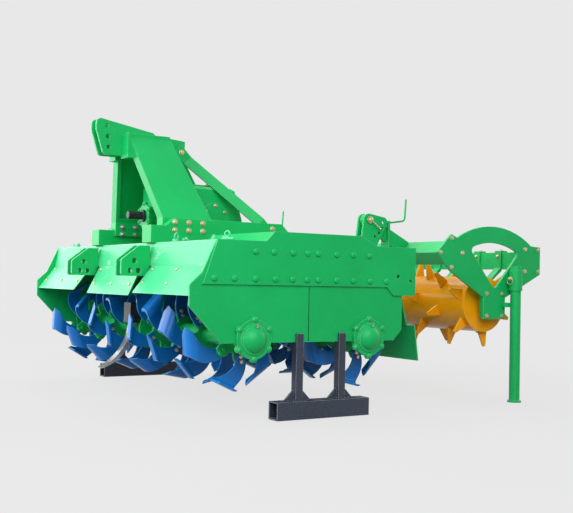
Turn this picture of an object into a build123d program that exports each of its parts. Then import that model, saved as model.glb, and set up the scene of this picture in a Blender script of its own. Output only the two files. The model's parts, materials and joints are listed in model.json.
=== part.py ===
"""Twin-rotor rotary tiller with a toothed packer roller, standing on skids and rear legs.

Width runs along X, the front faces -Y and +Z is up. Lengths are in millimetres. The outlines are
laid out with Y = 0 at the lower lip of the front apron and Z = 0 on the floor. At the end every
piece moves along Y so that the middle of the machine's length is at Y = 0.
"""

import os
from math import atan2, cos, hypot, radians, sin

from build123d import *

# Housing: side plates, doublers and the folded deck between them
side_face_x = 1100.0
doubler_t = 10.0
side_plate_t = 12.0
panel_gap = 1.5
deck_t = 8.0
front_panel_t = 6.0
flap_t = 5.0
rear_panel_t = 8.0
deck_front_y = 129.0
deck_low_z = 848.0
deck_rise = 48.0
deck_ramp_front_y = 389.0
deck_top_front_y = 437.0
deck_top_rear_y = 948.0
deck_ramp_rear_y = 1050.0
side_rear_y = 1304.0
side_rear_low_z = 598.0
lower_rear_y = 1223.0
side_low_z = 368.0
side_corner = 53.0
side_nose_y = -5.0
side_nose_low_z = 540.0
side_nose_high_z = 637.0
side_brow_y = 56.0
side_brow_z = 692.0
side_chin_y = 162.0
doubler_low_z = 641.0
doubler_step_y = 1117.0
panel_seam_y = 642.0
side_hole_r = 10.0
side_hole_back = 33.0
side_hole_rise = 31.0
side_hole_step_y = 82.0
side_hole_step_z = 25.0
rear_panel_y = 1266.0
rear_panel_low_z = 602.0
rear_lug_t = 16.0
rear_lug_r = 24.0
rear_lug_root = 60.0
apron_fold_y = 108.0
apron_fold_drop = 123.0
apron_lip_z = 586.0
flap_side_gap = 2.0
flap_inner_x = 428.0
flap_centre_x = 298.0
flap_centre_lip_y = 34.0
flap_centre_lip_z = 570.0

# Rotors: axes, shaft, flanges and tines
rotor_axis_z = 386.0
front_rotor_y = 328.0
rotor_pitch_y = 673.0
rotor_tube_r = 44.5
rotor_stub_r = 30.0
bearing_gap = 0.3
rotor_end_x = 1060.0
rotor_inner_x = 58.0
flange_t = 12.0
flange_hub_r = 78.0
flange_lobe_r = 128.0
flange_lobe_w = 62.0
flange_first_x = 152.0
flange_step_x = 262.0
flanges_per_side = 4
tines_per_flange = 6
flange_twist = 23.0
tine_t = 10.0
tine_w = 56.0
tine_root_r = 80.0
tine_top_z = 247.0
tine_bend_r = 44.0
tine_reach = 74.0
tine_sweep = 34.0
tine_lead_r = 110.0
tine_trail_r = 118.0
tine_tip_lead = 62.0
tine_tip_trail = 70.0
tine_tip_drop = 25.0
tine_tip_cut = 34.0
tine_belly = 15.0
tine_belly_z = 186.0

# Rotor bearings on the side plates
cover_flange_r = 94.0
cover_lobe_r = 17.0
cover_lobe_pcd_r = 92.0
cover_lobes = 6
cover_lobe_turn = 30.0
cover_flange_t = 18.0
cover_dome_r = 64.0
cover_dome_h = 40.0
cover_step_r = 72.0
cover_step_t = 6.0
bearing_boss_r = 70.0
bearing_boss_depth = 24.0
bearing_backing_r = 92.0

# Drive: gearbox on the deck, centre gear case and ripper below it
gearbox_half_x = 138.0
gearbox_front_y = 300.0
gearbox_rear_y = 800.0
gearbox_h = 292.0
gearbox_top_rear_y = 744.0
gearbox_waist_drop = 178.0
gearbox_edge = 14.0
gearbox_lid_inset = 34.0
gearbox_lid_t = 12.0
gearbox_cap_r = 86.0
gearbox_cap_t = 14.0
gearbox_foot_w = 38.0
gearbox_foot_t = 18.0
input_axis_rise = 116.0
input_boss_r = 66.0
input_lobe_pcd_r = 66.0
input_lobe_r = 15.0
input_lobes = 6
input_lobe_turn = 30.0
input_flange_t = 16.0
input_neck_r = 54.0
input_boss_y = 246.0
input_shaft_r = 22.2
input_shaft_y = 149.0
input_collar_r = 34.0
input_collar_l = 14.0
input_seat_depth = 60.0
spline_count = 8
spline_w = 7.0
spline_depth = 3.0
spline_l = 74.0
gear_case_half_x = 52.0
gear_case_eye_r = 112.0
gear_case_top_front_y = 470.0
gear_case_top_rear_y = 860.0
ripper_w = 50.0
ripper_t = 24.0
ripper_tip_t = 6.0
ripper_top_y = 176.0
ripper_top_z = 470.0
ripper_belly_y = 138.0
ripper_belly_z = 290.0
ripper_tip_y = 6.0
ripper_tip_z = 172.0
clamp_w = 90.0
clamp_h = 110.0
clamp_front_gap = 16.0

# Three-point hitch: beams, mast, top plates, struts and lower clevises
beam_inner_x = 308.0
beam_w = 110.0
beam_front_y = 103.0
beam_front_h = 91.0
beam_step_front_y = 190.0
beam_step_rear_y = 240.0
beam_h = 132.0
beam_rear_y = 944.0
beam_rear_h = 90.0
beam_chamfer_y = 900.0
mast_t = 22.0
mast_w = 70.0
mast_base_rise = 57.0
mast_bend_rise = 137.0
mast_top_drop = 80.0
mast_front_base_y = 196.0
mast_front_top_y = 98.0
mast_rear_base_y = 486.0
mast_rear_top_y = 342.0
mast_tab_t = 14.0
mast_tab_w = 88.0
mast_tab_drop = 138.0
top_gap = 54.0
top_plate_t = 16.0
top_hole_r = 13.0
top_hole_y = 3.0
top_hole_drop = 100.0
top_hole_step = 58.0
top_front_y = -63.0
top_clear = 130.0
top_rear_y = 470.0
top_front_h = 64.0
top_corner_r = 26.0
top_step_y = 273.0
top_step_drop = 57.0
top_step = 13.0
top_rear_drop = 86.0
top_rear_h = 76.0
top_keel_y = 380.0
top_keel_drop = 194.0
top_chin_y = -20.0
top_chin_drop = 202.0
top_hole_lean = 6.0
strut_w = 60.0
strut_t = 14.0
strut_top_y = 443.0
strut_top_drop = 152.0
strut_low_y = 868.0
strut_low_rise = 103.0
strut_end = 34.0
strut_tab = 58.0
clevis_gap = 50.0
clevis_plate_t = 16.0
clevis_mid_x = 363.0
clevis_hole_r = 14.5
clevis_hole_y = 22.0
clevis_hole_drop = 97.0
clevis_low_hole_drop = 149.0
clevis_low_hole_span = 46.0
clevis_front_y = -50.0
clevis_drop = 176.0
clevis_brow_rise = 4.0
clevis_shoulder_y = 48.0
clevis_top_drop = 18.0
clevis_heel_y = 90.0
clevis_corner_r = 14.0

# Roller frame: pivot brackets, arms, beams and end plates
pivot_y = 1322.0
pivot_rise = 168.0
pivot_pin_r = 15.0
pivot_gap = 0.3
bracket_x = 640.0
bracket_gap = 38.0
bracket_t = 12.0
bracket_top_r = 36.0
bracket_low_z = 700.0
bracket_hole_r = 9.0
bracket_hole_arc_r = 102.0
bracket_holes = 4
bracket_first_hole = -5.5
bracket_hole_step = 19.6
bracket_nose_r = 30.0
pin_head_t = 10.0
arm_t = 24.0
arm_eye_r = 32.0
stop_share = 0.451
stop_t = 12.0
stop_w = 68.0
stop_low_drop = 146.0
stop_high_drop = 76.0
lever_r = 5.5
lever_knee_drop = 10.0
lever_rise = 18.0
lever_grip_l = 124.0
lever_top_rise = 133.0
lever_lean = 8.0
lever_bend_r = 24.0
lever_bar_w = 20.0
lever_bar_rise = 12.0
front_beam_y = 1628.0
front_beam_z = 837.0
front_beam_side = 92.0
beam_span = 625.0
rear_beam_z = 810.0
rear_beam_side = 100.0
beam_tube_wall = 8.0
end_plate_x = 1017.0
end_plate_t = 16.0
arch_rise = 70.8
end_plate_arc_share = 0.84
window_share = 0.823
window_front_angle = 24.0
window_rear_angle = 29.0
window_apex_rise = 84.0
window_corner_r = 24.0
front_tab_half = 102.0
rear_tab_y = 72.0
rear_tab_z = 80.0
lower_tab_y = 84.0
lower_tab_z = 80.0
arch_front_angle = -31.0
arch_rear_angle = 36.0

# Packer roller and its scrapers
roller_offset_y = 18.5
roller_axis_z = 552.0
drum_r = 158.0
drum_wall = 8.0
drum_end_gap = 67.0
drum_disc_t = 12.0
roller_stub_r = 25.0
tooth_tip_r = 248.0
tooth_t = 12.0
tooth_base_w = 66.0
tooth_tip_w = 18.0
teeth_per_ring = 6
tooth_rings = 11
tooth_twist = 25.0
tooth_turn = -35.0
tooth_end_inset = 40.0
stub_end_gap = 1.0
roller_bearing_w = 132.0
roller_bearing_h = 140.0
roller_bearing_t = 34.0
scraper_w = 50.0
scraper_t = 10.0
scraper_gap = 8.0
scraper_hook = 44.0
scraper_angle = 40.0

# Stands: rear legs in their sleeves, and the skids under the side plates
leg_x = 1056.0
leg_offset_y = 128.0
leg_r = 30.0
leg_wall = 5.0
stay_inset = 12.0
stay_t = 16.0
stay_h = 26.0
stay_root = 26.0
leg_gap = 0.3
leg_foot_r = 39.0
leg_foot_t = 10.0
leg_top_z = 772.0
sleeve_wall = 7.0
sleeve_web_half = 12.0
sleeve_low_z = 634.0
sleeve_high_z = 752.0
skid_w = 80.0
skid_h = 87.0
skid_wall = 6.0
skid_front_y = 453.0
skid_length = 541.0
post_side = 40.0
post_front_y = 587.0
post_rear_y = 838.0
post_overlap = 42.0
gusset_leg = 58.0
gusset_t = 8.0

# Trailing board behind the rear rotor
board_hinge_y = 1284.0
board_hinge_z = 624.0
board_rod_r = 10.0
board_knuckle_r = 18.0
board_gap = 0.3
board_top_y = 1345.0
board_top_z = 440.0
board_low_y = 1372.0
board_low_z = 254.0
board_t = 6.0
board_end_gap = 14.0
strap_w = 64.0
strap_t = 10.0
strap_count = 5
strap_end_inset = 90.0

# Places that follow from the sizes above
plate_outer_x = side_face_x - doubler_t
plate_inner_x = plate_outer_x - side_plate_t
deck_high_z = deck_low_z + deck_rise
apron_fold_z = deck_low_z - apron_fold_drop
input_axis_z = deck_high_z + input_axis_rise
beam_front_top_z = deck_low_z + beam_front_h
beam_top_z = deck_low_z + beam_h
beam_rear_top_z = deck_low_z + beam_rear_h
mast_base_z = deck_low_z + mast_base_rise
mast_bend_z = deck_low_z + mast_bend_rise
strut_low_z = deck_low_z + strut_low_rise
clevis_hole_z = deck_low_z - clevis_hole_drop
clevis_low_hole_z = deck_low_z - clevis_low_hole_drop
clevis_low_z = deck_low_z - clevis_drop
pivot_z = deck_low_z + pivot_rise
stop_low_z = pivot_z - stop_low_drop
stop_high_z = pivot_z - stop_high_drop
lever_knee_z = pivot_z - lever_knee_drop
lever_top_z = pivot_z + lever_top_rise
beam_outer_x = beam_inner_x + beam_w
rear_rotor_y = front_rotor_y + rotor_pitch_y
end_plate_inner_x = end_plate_x - end_plate_t
rear_beam_y = front_beam_y + beam_span
end_plate_arc_y = (front_beam_y + rear_beam_y) / 2
roller_axis_y = end_plate_arc_y + roller_offset_y
leg_y = roller_axis_y + leg_offset_y
end_plate_arc_r = beam_span * end_plate_arc_share
arch_half_angle = radians((arch_rear_angle - arch_front_angle) / 2)
end_plate_arc_z = front_beam_z + arch_rise - end_plate_arc_r * cos(arch_half_angle)
window_arc_r = end_plate_arc_r * window_share
window_apex_z = roller_axis_z + window_apex_rise
stop_y = pivot_y + stop_share * (front_beam_y - pivot_y)
board_rod_x = plate_inner_x - board_end_gap
drum_end_x = end_plate_inner_x - drum_end_gap
machine_rear_y = rear_beam_y + rear_tab_y
machine_mid_y = (top_front_y + machine_rear_y) / 2
gearbox_top_z = deck_high_z + gearbox_h
top_high_z = gearbox_top_z + gearbox_lid_t + top_clear + top_chin_drop
mast_top_z = top_high_z - mast_top_drop
top_hole_z = top_high_z - top_hole_drop
strut_top_z = top_high_z - strut_top_drop

nodes = {}


def side_face(points):
    """Flat face seen from the side, from (y, z) corners."""
    return Plane.YZ * make_face(Polyline(*points, close=True))


def slab(face, x_from, x_to):
    """A side-view face given thickness from x_from to x_to."""
    return extrude(face.moved(Location((x_from, 0, 0))), amount=x_to - x_from, dir=(1, 0, 0))


def side_disc(y, z, radius):
    """Disc seen from the side."""
    return Plane.YZ * Pos(y, z) * Circle(radius)


def rod_x(y, z, radius, x_from, x_to):
    """Round bar along X."""
    return slab(side_disc(y, z, radius), x_from, x_to)


def box_between(low, high):
    """Box from its lowest to its highest corner."""
    size = [h - l for l, h in zip(low, high)]
    middle = [(h + l) / 2 for l, h in zip(low, high)]
    return Pos(*middle) * Box(*size)


def folded_sheet(line, thickness, x_from, x_to):
    """Sheet bent along X whose upper skin follows the (y, z) line and whose gauge lies below it."""
    low = [(y, z - thickness) for y, z in line]
    return slab(side_face(list(line) + low[::-1]), x_from, x_to)


def add_pair(name, piece):
    """Store a left piece, at +X, and its mirror image on the right."""
    nodes[name + "_left"] = piece
    nodes[name + "_right"] = mirror(piece, about=Plane.YZ)


def group(pieces):
    """Separate solids that share one node."""
    return Compound([solid for piece in pieces for solid in piece.solids()])


# Housing
def side_holes(piece):
    """The piece with two holes near the rear edge of the side."""
    y = side_rear_y - side_hole_back
    z = doubler_low_z + side_hole_rise
    for step in (0, 1):
        spot = (y - step * side_hole_step_y, z + step * side_hole_step_z)
        piece -= rod_x(spot[0], spot[1], side_hole_r, plate_inner_x, side_face_x)
    return piece


deck_line = [
    (deck_front_y, deck_low_z),
    (deck_ramp_front_y, deck_low_z),
    (deck_top_front_y, deck_high_z),
    (deck_top_rear_y, deck_high_z),
    (deck_ramp_rear_y, deck_low_z),
]


def side_plates():
    """Lower side plate in a front and a rear panel, with round backing behind each rotor bearing."""
    top = deck_line + [(side_rear_y, deck_low_z), (side_rear_y, side_rear_low_z)]
    outline = top + [
        (lower_rear_y, side_rear_low_z),
        (lower_rear_y, side_low_z + side_corner),
        (lower_rear_y - side_corner, side_low_z),
        (side_chin_y, side_low_z),
        (side_nose_y, side_nose_low_z),
        (side_nose_y, side_nose_high_z),
        (side_brow_y, side_brow_z),
    ]
    plate = slab(side_face(outline), plate_inner_x, plate_outer_x)
    for axis_y in (front_rotor_y, rear_rotor_y):
        plate += rod_x(axis_y, rotor_axis_z, bearing_backing_r, plate_inner_x, plate_outer_x)
    for axis_y in (front_rotor_y, rear_rotor_y):
        plate -= rod_x(axis_y, rotor_axis_z, bearing_boss_r, plate_inner_x, plate_outer_x)
    seam = box_between(
        (plate_inner_x, panel_seam_y - panel_gap / 2, 0),
        (plate_outer_x, panel_seam_y + panel_gap / 2, deck_high_z),
    )
    return group([side_holes(plate - seam)])


def side_doubler():
    """Thick upper plate that carries the bolt rows."""
    outline = deck_line + [
        (side_rear_y, deck_low_z),
        (side_rear_y, side_rear_low_z),
        (doubler_step_y + doubler_low_z - side_rear_low_z, side_rear_low_z),
        (doubler_step_y, doubler_low_z),
        (side_brow_y, doubler_low_z),
    ]
    return side_holes(slab(side_face(outline), plate_outer_x, side_face_x))


def front_panel():
    """Upright panel under the front edge of the deck, leaning back to the deck's edge."""
    outline = [
        (apron_fold_y, apron_fold_z),
        (deck_front_y, deck_low_z),
        (deck_front_y, deck_low_z - deck_t),
        (deck_front_y + front_panel_t, deck_low_z - deck_t),
        (apron_fold_y + front_panel_t, apron_fold_z),
    ]
    return slab(side_face(outline), -plate_inner_x, plate_inner_x)


def apron_flap(x_from, x_to, lip_y, lip_z):
    """Front flap that slopes forward from the fold to its lip."""
    outline = [
        (apron_fold_y, apron_fold_z),
        (lip_y, lip_z),
        (lip_y + flap_t, lip_z),
        (apron_fold_y + front_panel_t, apron_fold_z - flap_t),
        (apron_fold_y + front_panel_t, apron_fold_z),
    ]
    return slab(side_face(outline), x_from, x_to)


add_pair("side_plate", side_plates())
add_pair("side_doubler", side_doubler())
deck_skin = deck_line + [(rear_panel_y, deck_low_z)]
nodes["hood_deck"] = folded_sheet(deck_skin, deck_t, -plate_inner_x, plate_inner_x)
nodes["front_panel"] = front_panel()
nodes["apron_flap_centre"] = apron_flap(
    -flap_centre_x, flap_centre_x, flap_centre_lip_y, flap_centre_lip_z
)
add_pair("apron_flap", apron_flap(flap_inner_x, plate_inner_x - flap_side_gap, 0, apron_lip_z))


def rear_panel():
    """Upright panel under the deck's rear edge, with a lug at each end for the board's hinge rod."""
    panel = box_between(
        (-plate_inner_x, rear_panel_y - rear_panel_t, rear_panel_low_z),
        (plate_inner_x, rear_panel_y, deck_low_z - deck_t),
    )
    root = make_face(
        Polyline(
            (rear_panel_y - rear_panel_t, rear_panel_low_z),
            (rear_panel_y, rear_panel_low_z),
            (rear_panel_y, rear_panel_low_z + rear_lug_root),
            (rear_panel_y - rear_panel_t, rear_panel_low_z + rear_lug_root),
            close=True,
        )
    )
    eye = Pos(board_hinge_y, board_hinge_z) * Circle(rear_lug_r)
    lug = make_hull(root.edges() + eye.edges()) - Pos(board_hinge_y, board_hinge_z) * Circle(board_rod_r)
    for x in (-board_rod_x, board_rod_x - rear_lug_t):
        panel += slab(Plane.YZ * lug, x, x + rear_lug_t)
    return panel


nodes["rear_panel"] = rear_panel()


# Rotors
def tine():
    """One blade on the +X face of its flange: a bar bent sideways, cut to a sickle with a pointed tip.

    It is drawn with the middle of its tip straight up, then turned back so that its root stands up.
    """
    bend_z = tine_top_z - tine_t / 2 - tine_bend_r
    half = tine_t / 2
    with BuildLine(Plane.XZ) as bar_line:
        Polyline((half, bend_z), (half, 0), (-half, 0), (-half, bend_z))
        CenterArc((tine_bend_r, bend_z), tine_bend_r + half, 180, -90)
        Polyline(
            (tine_bend_r, tine_top_z),
            (tine_reach, tine_top_z),
            (tine_reach, tine_top_z - tine_t),
            (tine_bend_r, tine_top_z - tine_t),
        )
        CenterArc((tine_bend_r, bend_z), tine_bend_r - half, 90, 90)
    bar = extrude(make_face(bar_line.edges()), amount=tine_top_z, both=True)
    turn = radians(tine_sweep)
    outward = Vector(-sin(turn), cos(turn))
    across = Vector(-cos(turn), -sin(turn)) * (tine_w / 2)
    with BuildLine() as edge_line:
        lead = TangentArc(
            outward * tine_lead_r + across, Vector(-tine_tip_lead, tine_top_z), tangent=outward
        )
        trail = ThreePointArc(
            outward * tine_trail_r - across,
            (-tine_belly, tine_belly_z),
            (tine_tip_trail - tine_tip_drop, tine_top_z - tine_tip_drop),
        )
        Polyline(lead @ 1, (tine_tip_trail, tine_top_z), trail @ 1)
        Polyline(trail @ 0, outward * tine_root_r - across, outward * tine_root_r + across, lead @ 0)
    outline = Plane.YZ * make_face(edge_line.edges())
    blade = bar & extrude(outline, amount=2 * tine_reach, both=True)
    point = Polyline(
        (-tine_t, -tine_top_z),
        (tine_reach, -tine_top_z),
        (tine_reach, tine_tip_trail - tine_tip_cut),
        (tine_reach / 2, tine_tip_trail),
        (-tine_t, tine_tip_trail - tine_tip_cut),
        close=True,
    )
    blade &= extrude(make_face(point), amount=2 * tine_top_z)
    return Pos(flange_t / 2 + tine_t / 2, 0, 0) * Rot(-tine_sweep, 0, 0) * blade


def flange():
    """Lobed plate that carries the tines of one cut."""
    plate = Circle(flange_hub_r)
    for turn in range(tines_per_flange):
        reach = flange_lobe_r - flange_lobe_w / 2
        lobe = Pos(reach / 2, 0) * Rectangle(reach, flange_lobe_w)
        lobe += Pos(reach, 0) * Circle(flange_lobe_w / 2)
        plate += Rot(0, 0, 90 + turn * 360 / tines_per_flange) * lobe
    return slab(Plane.YZ * plate, -flange_t / 2, flange_t / 2)


def flange_places():
    """Place and turn of every flange along a rotor."""
    places = []
    for index in range(flanges_per_side):
        offset = flange_first_x + index * flange_step_x
        places.append((offset, index * flange_twist))
        places.append((-offset, -index * flange_twist + flange_twist / 2))
    return places


def rotor(axis_y, phase):
    """Shaft with its flanges, and the tines bolted to them."""
    axis = Location((0, axis_y, rotor_axis_z))
    stub_x = plate_outer_x + cover_flange_t - bearing_gap
    shaft = rod_x(0, 0, rotor_stub_r, -stub_x, stub_x)
    for side in (-1, 1):
        ends = sorted((side * rotor_inner_x, side * rotor_end_x))
        shaft += rod_x(0, 0, rotor_tube_r, ends[0], ends[1])
    right_tine = tine()
    left_tine = mirror(right_tine, about=Plane.YZ)
    plate = flange()
    tines = []
    for x, twist in flange_places():
        seat = Location((x, 0, 0), (phase + twist, 0, 0))
        shaft += plate.moved(seat)
        for turn in range(tines_per_flange):
            blade = right_tine if turn % 2 == 0 else left_tine
            spot = Location((x, 0, 0), (phase + twist + turn * 360 / tines_per_flange, 0, 0))
            tines.append(blade.moved(spot))
    return shaft.moved(axis), group([blade.moved(axis) for blade in tines])


nodes["front_rotor"], nodes["front_tines"] = rotor(front_rotor_y, 0.0)
nodes["rear_rotor"], nodes["rear_tines"] = rotor(rear_rotor_y, flange_twist / 2)


def bearing_cover(axis_y):
    """Bearing housing on the side plate: lobed flange and round dome outside, boss inside."""
    flange_plate = side_disc(0, 0, cover_flange_r)
    for turn in range(cover_lobes):
        angle = radians(cover_lobe_turn + turn * 360 / cover_lobes)
        spot = (cover_lobe_pcd_r * cos(angle), cover_lobe_pcd_r * sin(angle))
        flange_plate += side_disc(spot[0], spot[1], cover_lobe_r)
    out = plate_outer_x + cover_flange_t
    top = out + cover_step_t + cover_dome_h
    body = slab(flange_plate, plate_outer_x, out)
    with BuildLine() as profile:
        Polyline((top, 0), (out, 0), (out, cover_step_r), (out + cover_step_t, cover_step_r))
        Line((out + cover_step_t, cover_step_r), (out + cover_step_t, cover_dome_r))
        TangentArc((top, 0), (out + cover_step_t, cover_dome_r), tangent=(0, 1))
    body += revolve(make_face(profile.edges()), axis=Axis.X)
    body += rod_x(0, 0, bearing_boss_r, plate_outer_x - bearing_boss_depth, plate_outer_x)
    body -= rod_x(0, 0, rotor_stub_r + bearing_gap, plate_outer_x - bearing_boss_depth, out)
    return body.moved(Location((0, axis_y, rotor_axis_z)))


add_pair("front_bearing", bearing_cover(front_rotor_y))
add_pair("rear_bearing", bearing_cover(rear_rotor_y))


# Drive
def front_disc(radius, y):
    """Disc seen from the front, on the input axis."""
    return Plane.XZ.offset(-y) * Pos(0, input_axis_z) * Circle(radius)


def gearbox():
    """Gearbox on the deck: case with its lid, feet, side caps and the lobed boss of the input shaft."""
    outline = [
        (gearbox_front_y, deck_high_z),
        (gearbox_front_y, gearbox_top_z),
        (gearbox_top_rear_y, gearbox_top_z),
        (gearbox_rear_y, gearbox_top_z - gearbox_waist_drop),
        (gearbox_rear_y, deck_high_z),
    ]
    case = slab(side_face(outline), -gearbox_half_x, gearbox_half_x)
    case = chamfer(case.edges().group_by(Axis.Z)[-1], gearbox_edge)
    lid_half = gearbox_half_x - gearbox_lid_inset
    case += box_between(
        (-lid_half, gearbox_front_y + gearbox_lid_inset, gearbox_top_z),
        (lid_half, gearbox_top_rear_y - gearbox_lid_inset, gearbox_top_z + gearbox_lid_t),
    )
    reach = gearbox_half_x + gearbox_foot_w
    case += box_between(
        (-reach, deck_top_front_y, deck_high_z), (reach, gearbox_rear_y, deck_high_z + gearbox_foot_t)
    )
    cap_y = (deck_top_front_y + gearbox_rear_y) / 2
    cap_reach = gearbox_half_x + gearbox_cap_t
    case += rod_x(cap_y, input_axis_z, gearbox_cap_r, -cap_reach, cap_reach)
    case += extrude(front_disc(input_neck_r, gearbox_front_y), amount=gearbox_front_y - input_boss_y)
    boss = front_disc(input_boss_r, input_boss_y + input_flange_t)
    for turn in range(input_lobes):
        angle = radians(input_lobe_turn + turn * 360 / input_lobes)
        spot = Pos(input_lobe_pcd_r * cos(angle), 0, input_lobe_pcd_r * sin(angle))
        boss += spot * front_disc(input_lobe_r, input_boss_y + input_flange_t)
    case += extrude(boss, amount=input_flange_t)
    tail_y = gearbox_front_y + input_seat_depth
    return case - extrude(front_disc(input_shaft_r + bearing_gap, tail_y), amount=tail_y - input_boss_y)


def input_shaft():
    """Splined drive shaft stub that points to the tractor."""
    tail_y = gearbox_front_y + input_seat_depth - bearing_gap
    shaft = extrude(front_disc(input_shaft_r, tail_y), amount=tail_y - input_shaft_y)
    shaft += extrude(front_disc(input_collar_r, input_boss_y - bearing_gap), amount=input_collar_l)
    groove = Pos(0, input_shaft_y + spline_l / 2, input_shaft_r) * Box(spline_w, spline_l, 2 * spline_depth)
    for turn in range(spline_count):
        shaft -= Pos(0, 0, input_axis_z) * Rot(0, turn * 360 / spline_count, 0) * groove
    return shaft


def gear_case_shape():
    """Side view of the centre case: one limb from the deck to each rotor axis."""
    top_z = deck_high_z - deck_t
    top = [
        (gear_case_top_front_y, top_z),
        (gear_case_top_rear_y, top_z),
        (gear_case_top_rear_y, deck_low_z - deck_t),
        (gear_case_top_front_y, deck_low_z - deck_t),
    ]
    shape = Sketch()
    for axis_y in (front_rotor_y, rear_rotor_y):
        eye = Pos(axis_y, rotor_axis_z) * Circle(gear_case_eye_r)
        roof = make_face(Polyline(*top, close=True))
        shape += make_hull(eye.edges() + roof.edges())
    return shape


def gear_case():
    """Centre case whose two limbs carry the rotors' middle bearings."""
    case = slab(Plane.YZ * gear_case_shape(), -gear_case_half_x, gear_case_half_x)
    for axis_y in (front_rotor_y, rear_rotor_y):
        case -= rod_x(
            axis_y, rotor_axis_z, rotor_stub_r + bearing_gap, -gear_case_half_x, gear_case_half_x
        )
    return case


nodes["gearbox"] = gearbox()
nodes["input_shaft"] = input_shaft()
nodes["centre_gear_case"] = gear_case()


# Hitch
def hitch_beam():
    """Box beam along the machine, stepped up where the mast is bolted to it."""
    outline = [
        (beam_front_y, deck_low_z),
        (beam_front_y, beam_front_top_z),
        (beam_step_front_y, beam_front_top_z),
        (beam_step_rear_y, beam_top_z),
        (beam_chamfer_y, beam_top_z),
        (beam_rear_y, beam_rear_top_z),
        (beam_rear_y, deck_high_z),
        (deck_top_front_y, deck_high_z),
        (deck_ramp_front_y, deck_low_z),
    ]
    return slab(side_face(outline), beam_inner_x, beam_outer_x)


def mast_plate():
    """Channel bent inwards from the beam to the top hitch plate: web, wide front edge and front tab."""
    base_x = beam_inner_x - mast_t
    top_x = top_gap / 2 + top_plate_t
    lip_z = mast_top_z - mast_t
    profile = [
        (base_x, mast_base_z),
        (base_x + mast_w, mast_base_z),
        (base_x + mast_w, mast_bend_z),
        (top_x + mast_w, lip_z),
        (top_x + mast_w, mast_top_z),
        (top_x, mast_top_z),
        (top_x, lip_z),
        (base_x, mast_bend_z),
    ]
    slope = (base_x - top_x) / (lip_z - mast_bend_z)
    hollow = [
        (0, mast_bend_z + mast_t),
        (base_x + mast_w - mast_t - slope * mast_t, mast_bend_z + mast_t),
        (top_x + mast_w - mast_t, lip_z),
        (0, lip_z),
    ]
    outline = [
        (mast_front_base_y, mast_base_z),
        (mast_front_base_y, mast_bend_z),
        (mast_front_top_y, mast_top_z),
        (mast_rear_top_y, mast_top_z),
        (mast_rear_base_y, mast_bend_z),
        (mast_rear_base_y, mast_base_z),
    ]
    inside = [(y + mast_t, z) for y, z in outline]

    def across(points):
        """Solid along the machine from corners seen from the front."""
        return extrude(Plane.XZ * make_face(Polyline(*points, close=True)), amount=-2 * mast_rear_base_y)

    plate = across(profile) & slab(side_face(outline), 0, base_x + mast_w)
    plate -= across(hollow) & slab(side_face(inside), 0, base_x + mast_w)
    plate -= hitch_beam()
    lean = (mast_front_base_y - mast_front_top_y) / (mast_top_z - mast_bend_z)
    tab_low_z = mast_top_z - mast_tab_drop
    tab = [
        (mast_front_top_y, mast_top_z),
        (mast_front_top_y - mast_tab_t, mast_top_z),
        (mast_front_top_y - mast_tab_t, tab_low_z),
        (mast_front_top_y + lean * mast_tab_drop, tab_low_z),
    ]
    return plate + slab(side_face(tab), top_x, top_x + mast_tab_w)


def top_hitch_plate():
    """Plate with the row of top link holes, which runs back to the strut."""
    rear_z = top_high_z - top_rear_drop
    outline = [
        (top_front_y, top_high_z - top_front_h),
        (top_front_y, top_high_z),
        (top_step_y, top_high_z - top_step_drop),
        (top_step_y + top_step, top_high_z - top_step_drop - top_step),
        (top_rear_y, rear_z),
        (top_rear_y, rear_z - top_rear_h),
        (top_keel_y, top_high_z - top_keel_drop),
        (top_chin_y, top_high_z - top_chin_drop),
    ]
    plate = make_face(Polyline(*outline, close=True))
    by_height = plate.vertices().sort_by(Axis.Y)
    plate = fillet([by_height[0], by_height[-1]], top_corner_r)
    for step in (-1, 0, 1):
        spot = Pos(top_hole_y - top_hole_lean * step, top_hole_z + step * top_hole_step)
        plate -= spot * Circle(top_hole_r)
    return slab(Plane.YZ * plate, top_gap / 2, top_gap / 2 + top_plate_t)


def strut():
    """Flat bar from the top hitch plate back down to the beam, joggled outwards at both ends."""
    run_y = strut_low_y - strut_top_y
    run_z = strut_low_z - strut_top_z
    length = hypot(run_y, run_z)
    top_x = top_gap / 2 + top_plate_t
    low_x = beam_inner_x - strut_t
    profile = [
        (-strut_end, top_x),
        (strut_tab, top_x),
        (length - strut_tab, low_x),
        (length + strut_end, low_x),
        (length + strut_end, low_x + strut_t),
        (length - strut_tab, low_x + strut_t),
        (strut_tab, top_x + strut_t),
        (-strut_end, top_x + strut_t),
    ]
    along = Vector(0, run_y / length, run_z / length)
    plane = Plane((0, strut_top_y, strut_top_z), x_dir=along, z_dir=along.cross(Vector(1, 0, 0)))
    return extrude(plane * make_face(Polyline(*profile, close=True)), amount=strut_w / 2, both=True)


def lower_clevis():
    """Pair of plates that take the lower link."""
    top_z = deck_low_z - clevis_top_drop
    outline = [
        (clevis_front_y, clevis_low_z),
        (clevis_front_y, clevis_hole_z + clevis_brow_rise),
        (clevis_shoulder_y, top_z),
        (apron_fold_y, top_z),
        (apron_fold_y, apron_fold_z),
        (clevis_heel_y, clevis_low_z),
    ]
    plate = make_face(Polyline(*outline, close=True))
    plate = fillet(plate.vertices().sort_by(Axis.X)[:2], clevis_corner_r)
    plate -= Pos(clevis_hole_y, clevis_hole_z) * Circle(clevis_hole_r)
    for step in (-0.5, 0.5):
        plate -= Pos(clevis_hole_y + step * clevis_low_hole_span, clevis_low_hole_z) * Circle(clevis_hole_r)
    inner_x = clevis_mid_x - clevis_gap / 2 - clevis_plate_t
    outer_x = clevis_mid_x + clevis_gap / 2
    return group([slab(Plane.YZ * plate, x, x + clevis_plate_t) for x in (inner_x, outer_x)])


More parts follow.
